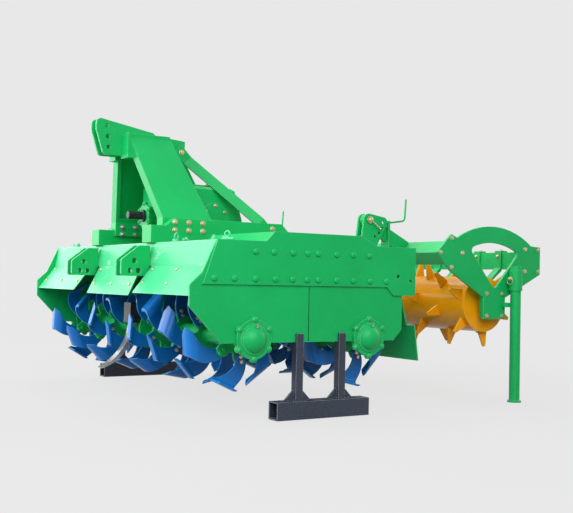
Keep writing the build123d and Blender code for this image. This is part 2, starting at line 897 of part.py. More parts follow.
add_pair("hitch_beam", hitch_beam())
add_pair("mast_plate", mast_plate())
add_pair("top_hitch_plate", top_hitch_plate())
add_pair("strut", strut())
add_pair("lower_clevis", lower_clevis())


# Roller frame
half_diagonal = front_beam_side / 2 ** 0.5


def arc_point(angle):
    """Point on the arc of depth holes around the pivot."""
    turn = radians(angle)
    return pivot_y + bracket_hole_arc_r * cos(turn), pivot_z + bracket_hole_arc_r * sin(turn)


def hole_angles():
    """Angles of the depth holes, from the highest down."""
    return [bracket_first_hole - step * bracket_hole_step for step in range(bracket_holes)]


def pivot_bracket():
    """Two plates behind the deck that hold the arm's pivot pin, with the arc of depth holes."""
    foot = make_face(
        Polyline(
            (rear_panel_y, bracket_low_z),
            (rear_panel_y + bracket_t, bracket_low_z),
            (rear_panel_y + bracket_t, deck_low_z),
            (rear_panel_y, deck_low_z),
            close=True,
        )
    )
    angles = hole_angles()
    rounds = Pos(pivot_y, pivot_z) * Circle(bracket_top_r)
    outline = foot.edges() + rounds.edges()
    for angle in (angles[0], angles[-1]):
        outline += (Pos(*arc_point(angle)) * Circle(bracket_nose_r)).edges()
    face = make_hull(outline)
    for angle in angles:
        face -= Pos(*arc_point(angle)) * Circle(bracket_hole_r)
    inner = bracket_gap / 2
    cheeks = [
        slab(Plane.YZ * face, bracket_x + inner, bracket_x + inner + bracket_t),
        slab(Plane.YZ * face, bracket_x - inner - bracket_t, bracket_x - inner),
    ]
    reach = inner + bracket_t + pin_head_t
    pin = rod_x(pivot_y, pivot_z, pivot_pin_r, bracket_x - reach, bracket_x + reach)
    return cheeks[0] + cheeks[1] + pin


def front_beam_face(side):
    """Square set on its corner, seen from the side."""
    return Plane.YZ * Pos(front_beam_y, front_beam_z) * Rot(0, 0, 45) * Rectangle(side, side)


def roller_arm():
    """Plate from the pivot pin to the upper front face of the front beam."""
    eye = Pos(pivot_y, pivot_z) * Circle(arm_eye_r)
    seat = make_face(
        Polyline(
            (front_beam_y, front_beam_z + half_diagonal),
            (front_beam_y - half_diagonal, front_beam_z),
            (front_beam_y, front_beam_z),
            close=True,
        )
    )
    face = make_hull(eye.edges() + seat.edges())
    arm = slab(Plane.YZ * face, bracket_x - arm_t / 2, bracket_x + arm_t / 2)
    arm -= slab(front_beam_face(front_beam_side), bracket_x - arm_t, bracket_x + arm_t)
    return arm - rod_x(pivot_y, pivot_z, pivot_pin_r + pivot_gap, bracket_x - arm_t, bracket_x + arm_t)


def end_plate():
    """Arched plate that joins both cross beams to the roller's bearing, with a fan-shaped window."""
    def on_arc(radius, angle):
        turn = radians(angle)
        return end_plate_arc_y + radius * sin(turn), end_plate_arc_z + radius * cos(turn)

    left = on_arc(end_plate_arc_r, arch_front_angle)
    right = on_arc(end_plate_arc_r, arch_rear_angle)
    low_z = roller_axis_z - lower_tab_z
    waist_z = roller_axis_z + lower_tab_z / 2
    with BuildSketch(Plane.YZ) as sketch:
        with BuildLine():
            ThreePointArc(right, on_arc(end_plate_arc_r, 0), left)
            Polyline(
                left,
                (front_beam_y, front_beam_z + front_tab_half),
                (front_beam_y - front_tab_half, front_beam_z),
                (front_beam_y, front_beam_z - front_tab_half),
                (roller_axis_y - lower_tab_y, waist_z),
                (roller_axis_y - lower_tab_y, low_z),
                (roller_axis_y + lower_tab_y, low_z),
                (roller_axis_y + lower_tab_y, waist_z),
                (rear_beam_y + rear_tab_y, rear_beam_z - rear_tab_z),
                (rear_beam_y + rear_tab_y, rear_beam_z + rear_tab_z),
                right,
            )
        make_face()
    with BuildSketch(Plane.YZ) as window:
        with BuildLine():
            start = on_arc(window_arc_r, -window_front_angle)
            stop = on_arc(window_arc_r, window_rear_angle)
            ThreePointArc(start, on_arc(window_arc_r, 0), stop)
            Polyline(stop, (roller_axis_y, window_apex_z), start)
        make_face()
        fillet(window.vertices(), window_corner_r)
    return slab(sketch.sketch - window.sketch, end_plate_inner_x, end_plate_x)


def square_tube(outer, inner):
    """Cross beam between the end plates."""
    return slab(outer - inner, -end_plate_inner_x, end_plate_inner_x)


def rear_beam_face(side):
    """Upright square, seen from the side."""
    return Plane.YZ * Pos(rear_beam_y, rear_beam_z) * Rectangle(side, side)


def roller_bearing():
    """Block on the inside of the end plate that carries the roller's stub."""
    body = box_between(
        (
            end_plate_inner_x - roller_bearing_t,
            roller_axis_y - roller_bearing_w / 2,
            roller_axis_z - roller_bearing_h / 2,
        ),
        (end_plate_inner_x, roller_axis_y + roller_bearing_w / 2, roller_axis_z + roller_bearing_h / 2),
    )
    return body - rod_x(
        roller_axis_y,
        roller_axis_z,
        roller_stub_r + bearing_gap,
        end_plate_inner_x - roller_bearing_t,
        end_plate_inner_x,
    )


def ring_places():
    """Places of the tooth rings along the drum."""
    first = drum_end_x - tooth_end_inset
    pitch = 2 * first / (tooth_rings - 1)
    return [-first + index * pitch for index in range(tooth_rings)]


def scrapers():
    """Bars hooked over the rear beam, one between each pair of tooth rings, that lean down to the drum."""
    face_y = rear_beam_y - rear_beam_side / 2
    beam_top = rear_beam_z + rear_beam_side / 2
    knee_z = rear_beam_z - rear_beam_side / 2
    turn = radians(scraper_angle)
    tip_r = drum_r + scraper_gap
    tip = (roller_axis_y + tip_r * cos(turn), roller_axis_z + tip_r * sin(turn))
    lean = atan2(knee_z - tip[1], face_y - tip[0])
    across = (-scraper_t * sin(lean), scraper_t * cos(lean))
    outline = [
        (face_y + scraper_hook, beam_top),
        (face_y + scraper_hook, beam_top + scraper_t),
        (face_y - scraper_t, beam_top + scraper_t),
        (face_y - scraper_t, knee_z + across[1]),
        (tip[0] + across[0], tip[1] + across[1]),
        tip,
        (face_y, knee_z - scraper_t),
        (face_y, beam_top),
    ]
    places = ring_places()
    middles = [(low + high) / 2 for low, high in zip(places, places[1:])]
    face = side_face(outline)
    return group([slab(face, x - scraper_w / 2, x + scraper_w / 2) for x in middles])


add_pair("pivot_bracket", pivot_bracket())
add_pair("roller_arm", roller_arm())
add_pair("roller_end_plate", end_plate())
nodes["front_cross_beam"] = square_tube(
    front_beam_face(front_beam_side), front_beam_face(front_beam_side - 2 * beam_tube_wall)
)
nodes["rear_cross_beam"] = square_tube(
    rear_beam_face(rear_beam_side), rear_beam_face(rear_beam_side - 2 * beam_tube_wall)
)
add_pair("roller_bearing", roller_bearing())
nodes["scrapers"] = scrapers()


# Packer roller
def tooth():
    """Flat pointed tooth that stands up from the drum's wall, turned about its own length."""
    root_r = drum_r - drum_wall / 2
    face = side_face(
        [
            (-tooth_base_w / 2, root_r),
            (-tooth_tip_w / 2, tooth_tip_r),
            (tooth_tip_w / 2, tooth_tip_r),
            (tooth_base_w / 2, root_r),
        ]
    )
    return Rot(0, 0, tooth_turn) * slab(face, -tooth_t / 2, tooth_t / 2)


def packer_drum():
    """Open drum with its rings of teeth, each ring turned on from the last."""
    half = drum_end_x - drum_disc_t
    wall = side_disc(0, 0, drum_r) - side_disc(0, 0, drum_r - drum_wall)
    spike = tooth()
    teeth = []
    for index, x in enumerate(ring_places()):
        for turn in range(teeth_per_ring):
            angle = index * tooth_twist + turn * 360 / teeth_per_ring
            teeth.append(spike.moved(Location((x, 0, 0), (angle, 0, 0))))
    drum = slab(wall, -half, half) + teeth
    return drum.moved(Location((0, roller_axis_y, roller_axis_z)))


def drum_end():
    """Disc that closes the drum, with the stub that turns in the bearing."""
    disc = rod_x(roller_axis_y, roller_axis_z, drum_r, drum_end_x - drum_disc_t, drum_end_x)
    stub_x = end_plate_inner_x - stub_end_gap
    return disc + rod_x(roller_axis_y, roller_axis_z, roller_stub_r, drum_end_x - drum_disc_t, stub_x)


nodes["packer_drum"] = packer_drum()
add_pair("drum_end", drum_end())


# Stands
def leg():
    """Round leg with its foot plate."""
    tube = Pos(leg_x, leg_y, 0) * Cylinder(leg_r, leg_top_z, align=(Align.CENTER, Align.CENTER, Align.MIN))
    tube -= Pos(leg_x, leg_y, leg_foot_t) * Cylinder(
        leg_r - leg_wall, leg_top_z, align=(Align.CENTER, Align.CENTER, Align.MIN)
    )
    foot = Cylinder(leg_foot_r, leg_foot_t, align=(Align.CENTER, Align.CENTER, Align.MIN))
    return tube + Pos(leg_x, leg_y, 0) * foot


def leg_sleeve():
    """Sleeve on the end plate in which the leg slides, and the stay that steadies the leg below it."""
    outer_r = leg_r + leg_gap + sleeve_wall
    height = sleeve_high_z - sleeve_low_z
    base = Pos(leg_x, leg_y, sleeve_low_z)
    round_part = Cylinder(outer_r, height, align=(Align.CENTER, Align.CENTER, Align.MIN))
    strap = box_between(
        (end_plate_x, leg_y - sleeve_web_half, sleeve_low_z),
        (leg_x, leg_y + sleeve_web_half, sleeve_high_z),
    )
    bore = Cylinder(leg_r + leg_gap, height, align=(Align.CENTER, Align.CENTER, Align.MIN))
    sleeve = base * round_part + strap - base * bore
    tab_y = roller_axis_y + lower_tab_y
    low_z = roller_axis_z - stay_h / 2
    stay_x = end_plate_x + stay_inset
    stay = box_between((end_plate_x, tab_y - stay_root, low_z), (stay_x + stay_t, tab_y, low_z + stay_h))
    stay += box_between((stay_x, tab_y - stay_root, low_z), (stay_x + stay_t, leg_y, low_z + stay_h))
    stay -= Pos(0, 0, low_z - sleeve_low_z) * base * bore
    return group([sleeve, stay])


def skid_runner():
    """Open-ended tube that stands on the floor."""
    mid_x = (plate_inner_x + plate_outer_x) / 2
    outer = box_between(
        (mid_x - skid_w / 2, skid_front_y, 0), (mid_x + skid_w / 2, skid_front_y + skid_length, skid_h)
    )
    inner = box_between(
        (mid_x - skid_w / 2 + skid_wall, skid_front_y, skid_wall),
        (mid_x + skid_w / 2 - skid_wall, skid_front_y + skid_length, skid_h - skid_wall),
    )
    return outer - inner


def skid_posts():
    """Posts with gussets at the foot and a slot at the top for the side plate's lower edge."""
    mid_x = (plate_inner_x + plate_outer_x) / 2
    half = post_side / 2
    posts = []
    for post_y in (post_front_y, post_rear_y):
        post = box_between(
            (mid_x - half, post_y - half, skid_h), (mid_x + half, post_y + half, side_low_z + post_overlap)
        )
        for side in (-1, 1):
            corner_y = post_y + side * half
            gusset = side_face(
                [
                    (corner_y, skid_h),
                    (corner_y + side * gusset_leg, skid_h),
                    (corner_y, skid_h + gusset_leg),
                ]
            )
            post += slab(gusset, mid_x - gusset_t / 2, mid_x + gusset_t / 2)
        slot = box_between(
            (plate_inner_x, post_y - half, side_low_z),
            (plate_outer_x, post_y + half, side_low_z + post_overlap),
        )
        posts.append(post - slot)
    return group(posts)


add_pair("leg", leg())
add_pair("leg_sleeve", leg_sleeve())
add_pair("skid_runner", skid_runner())
add_pair("skid_posts", skid_posts())


# Trailing board
def trailing_board():
    """Board behind the rear rotor, hung from its hinge rod by straps with knuckles."""
    half = board_rod_x - rear_lug_t - board_gap
    top = Vector(board_top_y, board_top_z)
    low = Vector(board_low_y, board_low_z)
    hinge = Vector(board_hinge_y, board_hinge_z)
    lean = (low - top).normalized()
    gauge = Vector(-lean.Y, lean.X) * board_t
    sheet = side_face([top, low, low + gauge, top + gauge])
    board = slab(sheet, -half, half)
    strap_lean = (top - hinge).normalized()
    side = Vector(-strap_lean.Y, strap_lean.X) * (strap_t / 2)
    strap = make_face(Polyline(hinge - side, top - side, top + gauge, hinge + side, close=True))
    strap += Pos(board_hinge_y, board_hinge_z) * Circle(board_knuckle_r)
    strap -= Pos(board_hinge_y, board_hinge_z) * Circle(board_rod_r + board_gap)
    first = half - strap_end_inset
    for index in range(strap_count):
        x = -first + 2 * first * index / (strap_count - 1)
        board += slab(Plane.YZ * strap, x - strap_w / 2, x + strap_w / 2)
    return board


nodes["trailing_board"] = trailing_board()
nodes["board_hinge_rod"] = rod_x(board_hinge_y, board_hinge_z, board_rod_r, -board_rod_x, board_rod_x)


# Ripper point ahead of the centre gear case
def ripper():
    """Curved bar, drawn out to a point, that breaks the strip between the rotor halves."""
    with BuildSketch() as sketch:
        with BuildLine():
            front = ThreePointArc(
                (ripper_top_y, ripper_top_z), (ripper_belly_y, ripper_belly_z), (ripper_tip_y, ripper_tip_z)
            )
            rear = ThreePointArc(
                (ripper_tip_y + ripper_tip_t, ripper_tip_z - ripper_tip_t),
                (ripper_belly_y + ripper_t, ripper_belly_z - ripper_t / 2),
                (ripper_top_y + ripper_t, ripper_top_z),
            )
            Line(front @ 1, rear @ 0)
            Line(rear @ 1, front @ 0)
        make_face()
    return slab(Plane.YZ * sketch.sketch, -ripper_w / 2, ripper_w / 2)


def ripper_clamp():
    """Block that holds the ripper's shank against the gear case."""
    block = make_face(
        Polyline(
            (ripper_top_y - clamp_front_gap, ripper_top_z - clamp_h / 2),
            (front_rotor_y, ripper_top_z - clamp_h / 2),
            (front_rotor_y, ripper_top_z + clamp_h / 2),
            (ripper_top_y - clamp_front_gap, ripper_top_z + clamp_h / 2),
            close=True,
        )
    )
    clamp = slab(Plane.YZ * (block - gear_case_shape()), -clamp_w / 2, clamp_w / 2)
    return clamp - nodes["centre_ripper"]


nodes["centre_ripper"] = ripper()
nodes["ripper_clamp"] = ripper_clamp()


# Depth stop with its hand lever, on the roller arm
def depth_lever():
    """Saddle plate under the arm, with an upright bar and the bent rod that lifts it."""
    plate = box_between(
        (bracket_x - stop_w / 2, stop_y, stop_low_z), (bracket_x + stop_w / 2, stop_y + stop_t, stop_high_z)
    )
    plate -= nodes["roller_arm_left"]
    bar_x = bracket_x + stop_w / 2 - lever_bar_w / 2
    plate += box_between(
        (bar_x - lever_bar_w / 2, stop_y, stop_high_z),
        (bar_x + lever_bar_w / 2, stop_y + stop_t, lever_knee_z + lever_bar_rise),
    )
    grip_y = stop_y + lever_grip_l
    path = FilletPolyline(
        (bar_x, stop_y, lever_knee_z),
        (bar_x, grip_y, lever_knee_z + lever_rise),
        (bar_x, grip_y + lever_lean, lever_top_z),
        radius=lever_bend_r,
    )
    section = Plane(path @ 0, z_dir=path % 0) * Circle(lever_r)
    return plate + sweep(section, path=path)


add_pair("depth_lever", depth_lever())

os.makedirs("parts", exist_ok=True)
for name, piece in nodes.items():
    export_step(piece.moved(Location((0, -machine_mid_y, 0))), f"parts/{name}.step")
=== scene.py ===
import json
import math
import bpy
from mathutils import Matrix, Vector


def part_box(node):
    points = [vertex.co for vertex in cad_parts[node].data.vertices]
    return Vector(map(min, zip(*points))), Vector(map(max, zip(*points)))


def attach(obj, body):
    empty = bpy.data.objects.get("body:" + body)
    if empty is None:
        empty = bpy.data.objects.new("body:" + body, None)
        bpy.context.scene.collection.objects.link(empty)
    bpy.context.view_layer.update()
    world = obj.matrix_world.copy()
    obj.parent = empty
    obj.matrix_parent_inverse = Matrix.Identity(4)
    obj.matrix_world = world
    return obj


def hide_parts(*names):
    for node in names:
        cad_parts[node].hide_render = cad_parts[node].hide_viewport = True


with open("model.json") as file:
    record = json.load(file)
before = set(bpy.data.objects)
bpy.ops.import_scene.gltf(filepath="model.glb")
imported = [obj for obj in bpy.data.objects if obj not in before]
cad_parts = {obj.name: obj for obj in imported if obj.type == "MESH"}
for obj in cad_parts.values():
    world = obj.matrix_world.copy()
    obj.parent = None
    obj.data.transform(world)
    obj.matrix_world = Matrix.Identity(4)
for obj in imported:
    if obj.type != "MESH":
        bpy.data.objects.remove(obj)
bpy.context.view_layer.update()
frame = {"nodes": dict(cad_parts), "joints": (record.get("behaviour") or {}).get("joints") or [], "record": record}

nodes = frame["nodes"]
print("frame loaded:", len(nodes), "nodes")

# places are in layout millimetres, sizes of hardware in metres
midY = 1131.0  # layout Y of the machine's middle
sides = (1, -1)  # left and right


def spot(x, y, z):  # layout millimetres to frame metres
    return Vector((x, y - midY, z)) / 1000


def layoutBox(node):  # lowest and highest corner of a CAD node
    low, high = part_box(node)
    shift = Vector((0, midY, 0))
    return 1000 * low + shift, 1000 * high + shift


def layoutMiddle(node):
    low, high = layoutBox(node)
    return (low + high) / 2


def faceX(node):  # outer X of a left-hand node
    return layoutBox(node)[1].x


def axisOf(name):  # Y and Z of a joint's axis
    joint = next(row for row in frame["joints"] if row["name"] == name)
    return 1000 * joint["pos_m"][1] + midY, 1000 * joint["pos_m"][2]


# shader maths

class Wire:
    def __init__(self, tree, socket=None):
        self.tree = tree
        self.socket = socket

    def make(self, kind, settings=None, inputs=None, output=0):
        node = self.tree.nodes.new(kind)
        for key, value in (settings or {}).items():
            setattr(node, key, value)
        for key, value in (inputs or {}).items():
            if isinstance(value, Wire):
                self.tree.links.new(value.socket, node.inputs[key])
            else:
                node.inputs[key].default_value = value
        return Wire(self.tree, node.outputs[output] if node.outputs else None)

    def maths(self, operation, left, right):
        return self.make("ShaderNodeMath", {"operation": operation}, {0: left, 1: right})

    def __add__(self, other):
        return self.maths("ADD", self, other)

    __radd__ = __add__

    def __sub__(self, other):
        return self.maths("SUBTRACT", self, other)

    def __rsub__(self, other):
        return self.maths("SUBTRACT", other, self)

    def __mul__(self, other):
        return self.maths("MULTIPLY", self, other)

    __rmul__ = __mul__

    def __gt__(self, other):
        return self.maths("GREATER_THAN", self, other)

    def dot(self, other):
        return self.make("ShaderNodeVectorMath", {"operation": "DOT_PRODUCT"}, {0: self, 1: other}, "Value")

    def length(self):
        return self.make("ShaderNodeVectorMath", {"operation": "LENGTH"}, {0: self}, "Value")

    def stretch(self, x, y, z):  # scales a place before a noise reads it
        return self.make("ShaderNodeVectorMath", {"operation": "MULTIPLY"}, {0: self, 1: (x, y, z)})

    def between(self, low, high):  # 0 below low, 1 above high, smooth between
        return self.make("ShaderNodeMapRange", {"interpolation_type": "SMOOTHSTEP"},
                         {"Value": self, "From Min": low, "From Max": high})

    def mix(self, first, second):  # this wire is the share of the second colour
        return self.make("ShaderNodeMix", {"data_type": "RGBA"}, {0: self, 6: first, 7: second}, 2)

    def noise(self, scale, detail, rough):
        return self.make("ShaderNodeTexNoise", None,
                         {"Vector": self, "Scale": scale, "Detail": detail, "Roughness": rough})

    def softEdge(self, radius):  # normal that rounds sharp edges off
        return self.make("ShaderNodeBevel", {"samples": 4}, {"Radius": radius})


def newMaterial(name):
    material = bpy.data.materials.new(name)
    material.use_nodes = True
    material.node_tree.nodes.clear()
    return material, Wire(material.node_tree)


def rgba(colour):
    return (*colour, 1.0)


def finishMaterial(material, wire, sockets):
    shader = wire.make("ShaderNodeBsdfPrincipled", None, sockets)
    wire.make("ShaderNodeOutputMaterial", None, {"Surface": shader})
    return material


# colour: main shade, deep: slow darker clouds, pale: rubbed flecks, edge: paler colour on corners, partly thin
# worn paint and partly a painted highlight along the edges
paints = {
    "greenPaint": {
        "colour": (0.004, 0.41, 0.105), "deep": (0.003, 0.36, 0.088), "pale": (0.012, 0.48, 0.15),
        "edge": (0.2, 0.7, 0.4),
        "roughness": 0.39, "specular": 0.24, "coat": 0.0, "dust": 0.05, "scuff": 0.0,
    },
    # paler than greenPaint: partly faded, scuffed paint and partly a painted sheen that the front-facing flaps and
    # panel show
    "flapFadedSheenPaint": {
        "colour": (0.06, 0.53, 0.235), "deep": (0.045, 0.48, 0.2), "pale": (0.1, 0.58, 0.29),
        "edge": (0.3, 0.72, 0.45),
        "roughness": 0.36, "specular": 0.3, "coat": 0.03, "dust": 0.05, "scuff": 0.75,
    },
    "bluePaint": {
        "colour": (0.002, 0.15, 0.48), "deep": (0.002, 0.105, 0.38), "pale": (0.006, 0.24, 0.66),
        "edge": (0.05, 0.42, 0.85),
        "roughness": 0.28, "specular": 0.24, "coat": 0.06, "dust": 0.08, "scuff": 0.0,
    },
    "orangePaint": {
        "colour": (0.87, 0.36, 0.004), "deep": (0.78, 0.29, 0.003), "pale": (0.88, 0.45, 0.015),
        "edge": (0.92, 0.66, 0.08),
        "roughness": 0.24, "specular": 0.16, "coat": 0.08, "dust": 0.03, "scuff": 0.0,
    },
    "slatePaint": {
        "colour": (0.026, 0.036, 0.06), "deep": (0.02, 0.028, 0.046), "pale": (0.045, 0.058, 0.085),
        # pale edge of the slate paint: partly bare metal worn through, partly a painted highlight on the skid
        # tube's end and upper edge
        "edge": (0.42, 0.45, 0.5),
        "roughness": 0.38, "specular": 0.35, "coat": 0.05, "dust": 0.1, "scuff": 0.0,
    },
    # dark green of the panel joint: the green paint as it looks in shade, a painted shadow of the narrow gap
    "seamShadePaint": {
        "colour": (0.004, 0.11, 0.032), "deep": (0.003, 0.085, 0.024), "pale": (0.006, 0.15, 0.045),
        "edge": (0.008, 0.18, 0.06),
        "roughness": 0.5, "specular": 0.2, "coat": 0.0, "dust": 0.05, "scuff": 0.0,
    },
}
paintLook = {
    "noise": {  # scale per metre, detail, roughness
        "cloud": (2.6, 4.0, 0.5), "fleck": (38.0, 6.0, 0.65), "speck": (160.0, 2.0, 0.5),
        "streak": (5.0, 6.0, 0.7), "rust": (21.0, 5.0, 0.7), "peel": (420.0, 2.0, 0.5),
    },
    "span": {  # where a layer starts to show and where it is full
        "cloud": (0.3, 0.7), "fleck": (0.5, 0.8), "streak": (0.56, 0.72), "rust": (0.64, 0.72),
        "corner": (0.02, 0.16), "edgePatch": (0.2, 0.5), "speck": (0.45, 0.75),
        "height": (0.05, 0.55),  # dust fades out between these heights
    },
    "share": {"fleck": 0.3, "rust": 0.7, "corner": 0.85},
    "rough": {"base": -0.06, "fleck": 0.06, "cloud": 0.08, "dust": 0.3},  # added to the paint's own
    "streakColour": (0.36, 0.62, 0.42), "streakStretch": (1.0, 3.0, 3.0),  # streaks run along X
    "rustColour": (0.36, 0.33, 0.08), "dustColour": (0.33, 0.28, 0.2),
    "edgeRadius": 0.0035,  # soft edge that the light catches
    "peelHeight": 0.0004, "peelStrength": 0.12, "cloudHeight": 0.4,
    "coatRoughness": 0.1, "refraction": 1.48,
}


def gloss(name):
    look = paints[name]
    noise, span, share, rough = (paintLook[key] for key in ("noise", "span", "share", "rough"))
    material, wire = newMaterial(name)
    place = wire.make("ShaderNodeTexCoord", output="Object")
    cloud, fleck, speck, peel = (place.noise(*noise[key]) for key in ("cloud", "fleck", "speck", "peel"))
    shade = cloud.between(*span["cloud"]).mix(rgba(look["deep"]), rgba(look["colour"]))
    shade = (share["fleck"] * fleck.between(*span["fleck"])).mix(shade, rgba(look["pale"]))
    if look["scuff"]:  # pale rubbed streaks and a few rusty spots
        streak = place.stretch(*paintLook["streakStretch"]).noise(*noise["streak"]).between(*span["streak"])
        shade = (look["scuff"] * streak).mix(shade, rgba(paintLook["streakColour"]))
        rust = place.noise(*noise["rust"]).between(*span["rust"])
        shade = (share["rust"] * rust).mix(shade, rgba(paintLook["rustColour"]))
    soft = wire.softEdge(paintLook["edgeRadius"])
    flat = wire.make("ShaderNodeNewGeometry", output="Normal")
    # paler edge colour in patches along the corners: partly paint worn thin, partly a painted highlight that the
    # edges catch
    wornAndLitEdge = (1.0 - soft.dot(flat)).between(*span["corner"]) * fleck.between(*span["edgePatch"])
    shade = (share["corner"] * wornAndLitEdge).mix(shade, rgba(look["edge"]))
    height = wire.make("ShaderNodeSeparateXYZ", None, {0: place}, "Z")
    low = 1.0 - height.between(*span["height"])
    dusty = low * speck.between(*span["speck"]) * look["dust"]
    shade = dusty.mix(shade, rgba(paintLook["dustColour"]))
    matt = rough["fleck"] * fleck + rough["cloud"] * cloud + rough["dust"] * dusty
    bump = wire.make("ShaderNodeBump", None, {
        "Strength": paintLook["peelStrength"], "Distance": paintLook["peelHeight"],
        "Height": peel + paintLook["cloudHeight"] * cloud, "Normal": soft,
    })
    return finishMaterial(material, wire, {
        "Base Color": shade, "Roughness": matt + (look["roughness"] + rough["base"]), "Normal": bump,
        "Coat Weight": look["coat"], "Coat Roughness": paintLook["coatRoughness"],
        "IOR": paintLook["refraction"], "Specular IOR Level": look["specular"],
    })


metals = {
    "darkSteel": {"colour": (0.03, 0.03, 0.032), "wornAndLitEdge": (0.075, 0.072, 0.07),
                  "roughness": 0.42, "metallic": 0.7},
    "bareSteel": {"colour": (0.36, 0.36, 0.35), "wornAndLitEdge": (0.5, 0.49, 0.47),
                  "roughness": 0.33, "metallic": 0.95},
    "zincPlate": {"colour": (0.44, 0.38, 0.2), "wornAndLitEdge": (0.56, 0.52, 0.36),
                  "roughness": 0.36, "metallic": 0.85},
}
metalLook = {
    "cloud": (24.0, 5.0, 0.6), "scratch": (220.0, 3.0, 0.7),  # scale per metre, detail, roughness
    "wornSpan": (0.35, 0.7), "roughBase": -0.1, "roughScratch": 0.25,
    "edgeRadius": 0.0012, "scratchHeight": 0.0003, "scratchStrength": 0.3,
}


def metal(name):
    look = metals[name]
    material, wire = newMaterial(name)
    place = wire.make("ShaderNodeTexCoord", output="Object")
    cloud, scratch = (place.noise(*metalLook[key]) for key in ("cloud", "scratch"))
    shade = cloud.between(*metalLook["wornSpan"]).mix(rgba(look["colour"]), rgba(look["wornAndLitEdge"]))
    rough = metalLook["roughScratch"] * scratch + (look["roughness"] + metalLook["roughBase"])
    bump = wire.make("ShaderNodeBump", None, {
        "Strength": metalLook["scratchStrength"], "Distance": metalLook["scratchHeight"],
        "Height": scratch, "Normal": wire.softEdge(metalLook["edgeRadius"]),
    })
    return finishMaterial(material, wire, {
        "Base Color": shade, "Roughness": rough, "Normal": bump, "Metallic": look["metallic"],
    })


greenPaint = gloss("greenPaint")
flapFadedSheenPaint = gloss("flapFadedSheenPaint")
orangePaint = gloss("orangePaint")
slatePaint = gloss("slatePaint")
bareSteel = metal("bareSteel")
zincPlate = metal("zincPlate")
slotPaint = {
    "green_paint": greenPaint, "blue_paint": gloss("bluePaint"), "orange_paint": orangePaint,
    "slate_paint": slatePaint, "dark_steel": metal("darkSteel"), "bare_steel": bareSteel,
}
# flaps and front panel take the paler paint, partly faded and partly a painted sheen
fadedAndSheened = [name for name in nodes if "flap" in name or name == "front_panel"]
for row in frame["record"]["subparts"]:
    mesh = nodes[row["node"]].data
    mesh.materials.clear()
    mesh.materials.append(flapFadedSheenPaint if row["node"] in fadedAndSheened else slotPaint[row["material_slot"]])


# small hardware, modelled once at the origin with its axis up +Z

hexCorners = 6
wireCorners = 8
levelNormal = 0.9  # a face counts as level when its normal's Z is past this


def clearSelection():
    if bpy.context.mode != "OBJECT":
        bpy.ops.object.mode_set(mode="OBJECT")
    bpy.ops.object.select_all(action="DESELECT")


def startDrum(corners, radius, height):  # new drum standing on the origin, left in edit mode
    clearSelection()
    bpy.ops.mesh.primitive_cylinder_add(vertices=corners, radius=radius, depth=height,
                                        location=(0, 0, height / 2))
    piece = bpy.context.object
    bpy.ops.object.transform_apply(location=True)
    bpy.ops.object.mode_set(mode="EDIT")
    return piece


def startBlock(width, length, low, high):  # new block about the Z axis, left in edit mode
    clearSelection()
    bpy.ops.mesh.primitive_cube_add(size=1, location=(0, 0, (low + high) / 2))
    piece = bpy.context.object
    piece.scale = (width, length, high - low)
    bpy.ops.object.transform_apply(location=True, scale=True)
    bpy.ops.object.mode_set(mode="EDIT")
    return piece


# the next ones work on the piece that is open in edit mode

def addDrum(corners, radius, low, high):  # one more drum on the same axis
    bpy.ops.mesh.select_all(action="DESELECT")
    bpy.ops.mesh.primitive_cylinder_add(vertices=corners, radius=radius, depth=high - low,
                                        location=(0, 0, (low + high) / 2))


def addRing(fitting):  # the wire ring of a fitting, tilted in degrees about each axis
    bpy.ops.mesh.select_all(action="DESELECT")
    bpy.ops.mesh.primitive_torus_add(major_segments=fitting["ringSegments"], minor_segments=wireCorners,
                                     major_radius=fitting["ring"], minor_radius=fitting["wire"],
                                     location=fitting["ringAt"],
                                     rotation=[math.radians(angle) for angle in fitting["ringTilt"]])


def pickFaces(piece, wanted):  # selects only the faces that the test takes
    bpy.ops.mesh.select_all(action="DESELECT")
    bpy.ops.mesh.select_mode(type="FACE")
    bpy.ops.object.mode_set(mode="OBJECT")
    for face in piece.data.polygons:
        face.select = wanted(face)
    bpy.ops.object.mode_set(mode="EDIT")


def topFace(height):
    return lambda face: face.normal.z > levelNormal and face.center.z > height


def narrow(width, rise):
    bpy.ops.mesh.inset(thickness=width, depth=rise)


def drawOut(x, y, z):
    bpy.ops.mesh.extrude_region_move(TRANSFORM_OT_translate={"value": (x, y, z)})


def narrowTop(piece, height, width, rise):  # insets the face above a height and lifts it
    pickFaces(piece, topFace(height))
    narrow(width, rise)


def closePiece(piece, smoothAngle=40):
    bpy.ops.mesh.select_all(action="SELECT")
    bpy.ops.mesh.normals_make_consistent(inside=False)
    bpy.ops.object.mode_set(mode="OBJECT")
    bpy.ops.object.shade_smooth_by_angle(angle=math.radians(smoothAngle))
    return piece


domeBolt = {
    "radius": 0.0155, "height": 0.010, "corners": 20, "rim": 0.4,  # rim: straight share of the height
    "steps": ((0.10, 0.26), (0.22, 0.2), (0.4, 0.14)),  # inset and rise, shares of radius and height
}


def makeDomeBolt():
    radius, height = domeBolt["radius"], domeBolt["height"]
    rim = domeBolt["rim"] * height
    bolt = startDrum(domeBolt["corners"], radius, rim)
    for inset, rise in domeBolt["steps"]:
        narrowTop(bolt, rim / 2, inset * radius, rise * height)
    return closePiece(bolt, smoothAngle=50)


hexBolt = {"head": 0.0135, "headHeight": 0.010, "chamfer": (0.0022, 0.0009),
           "washer": 0.0175, "washerHeight": 0.003, "washerEdge": (0.0015, 0.0006), "corners": 24}


def makeHexBolt():
    seat = hexBolt["washerHeight"]
    top = seat + hexBolt["headHeight"]
    bolt = startDrum(hexBolt["corners"], hexBolt["washer"], seat)
    narrowTop(bolt, seat / 2, *hexBolt["washerEdge"])
    addDrum(hexCorners, hexBolt["head"], seat, top)
    narrowTop(bolt, (seat + top) / 2, *hexBolt["chamfer"])
    return closePiece(bolt)


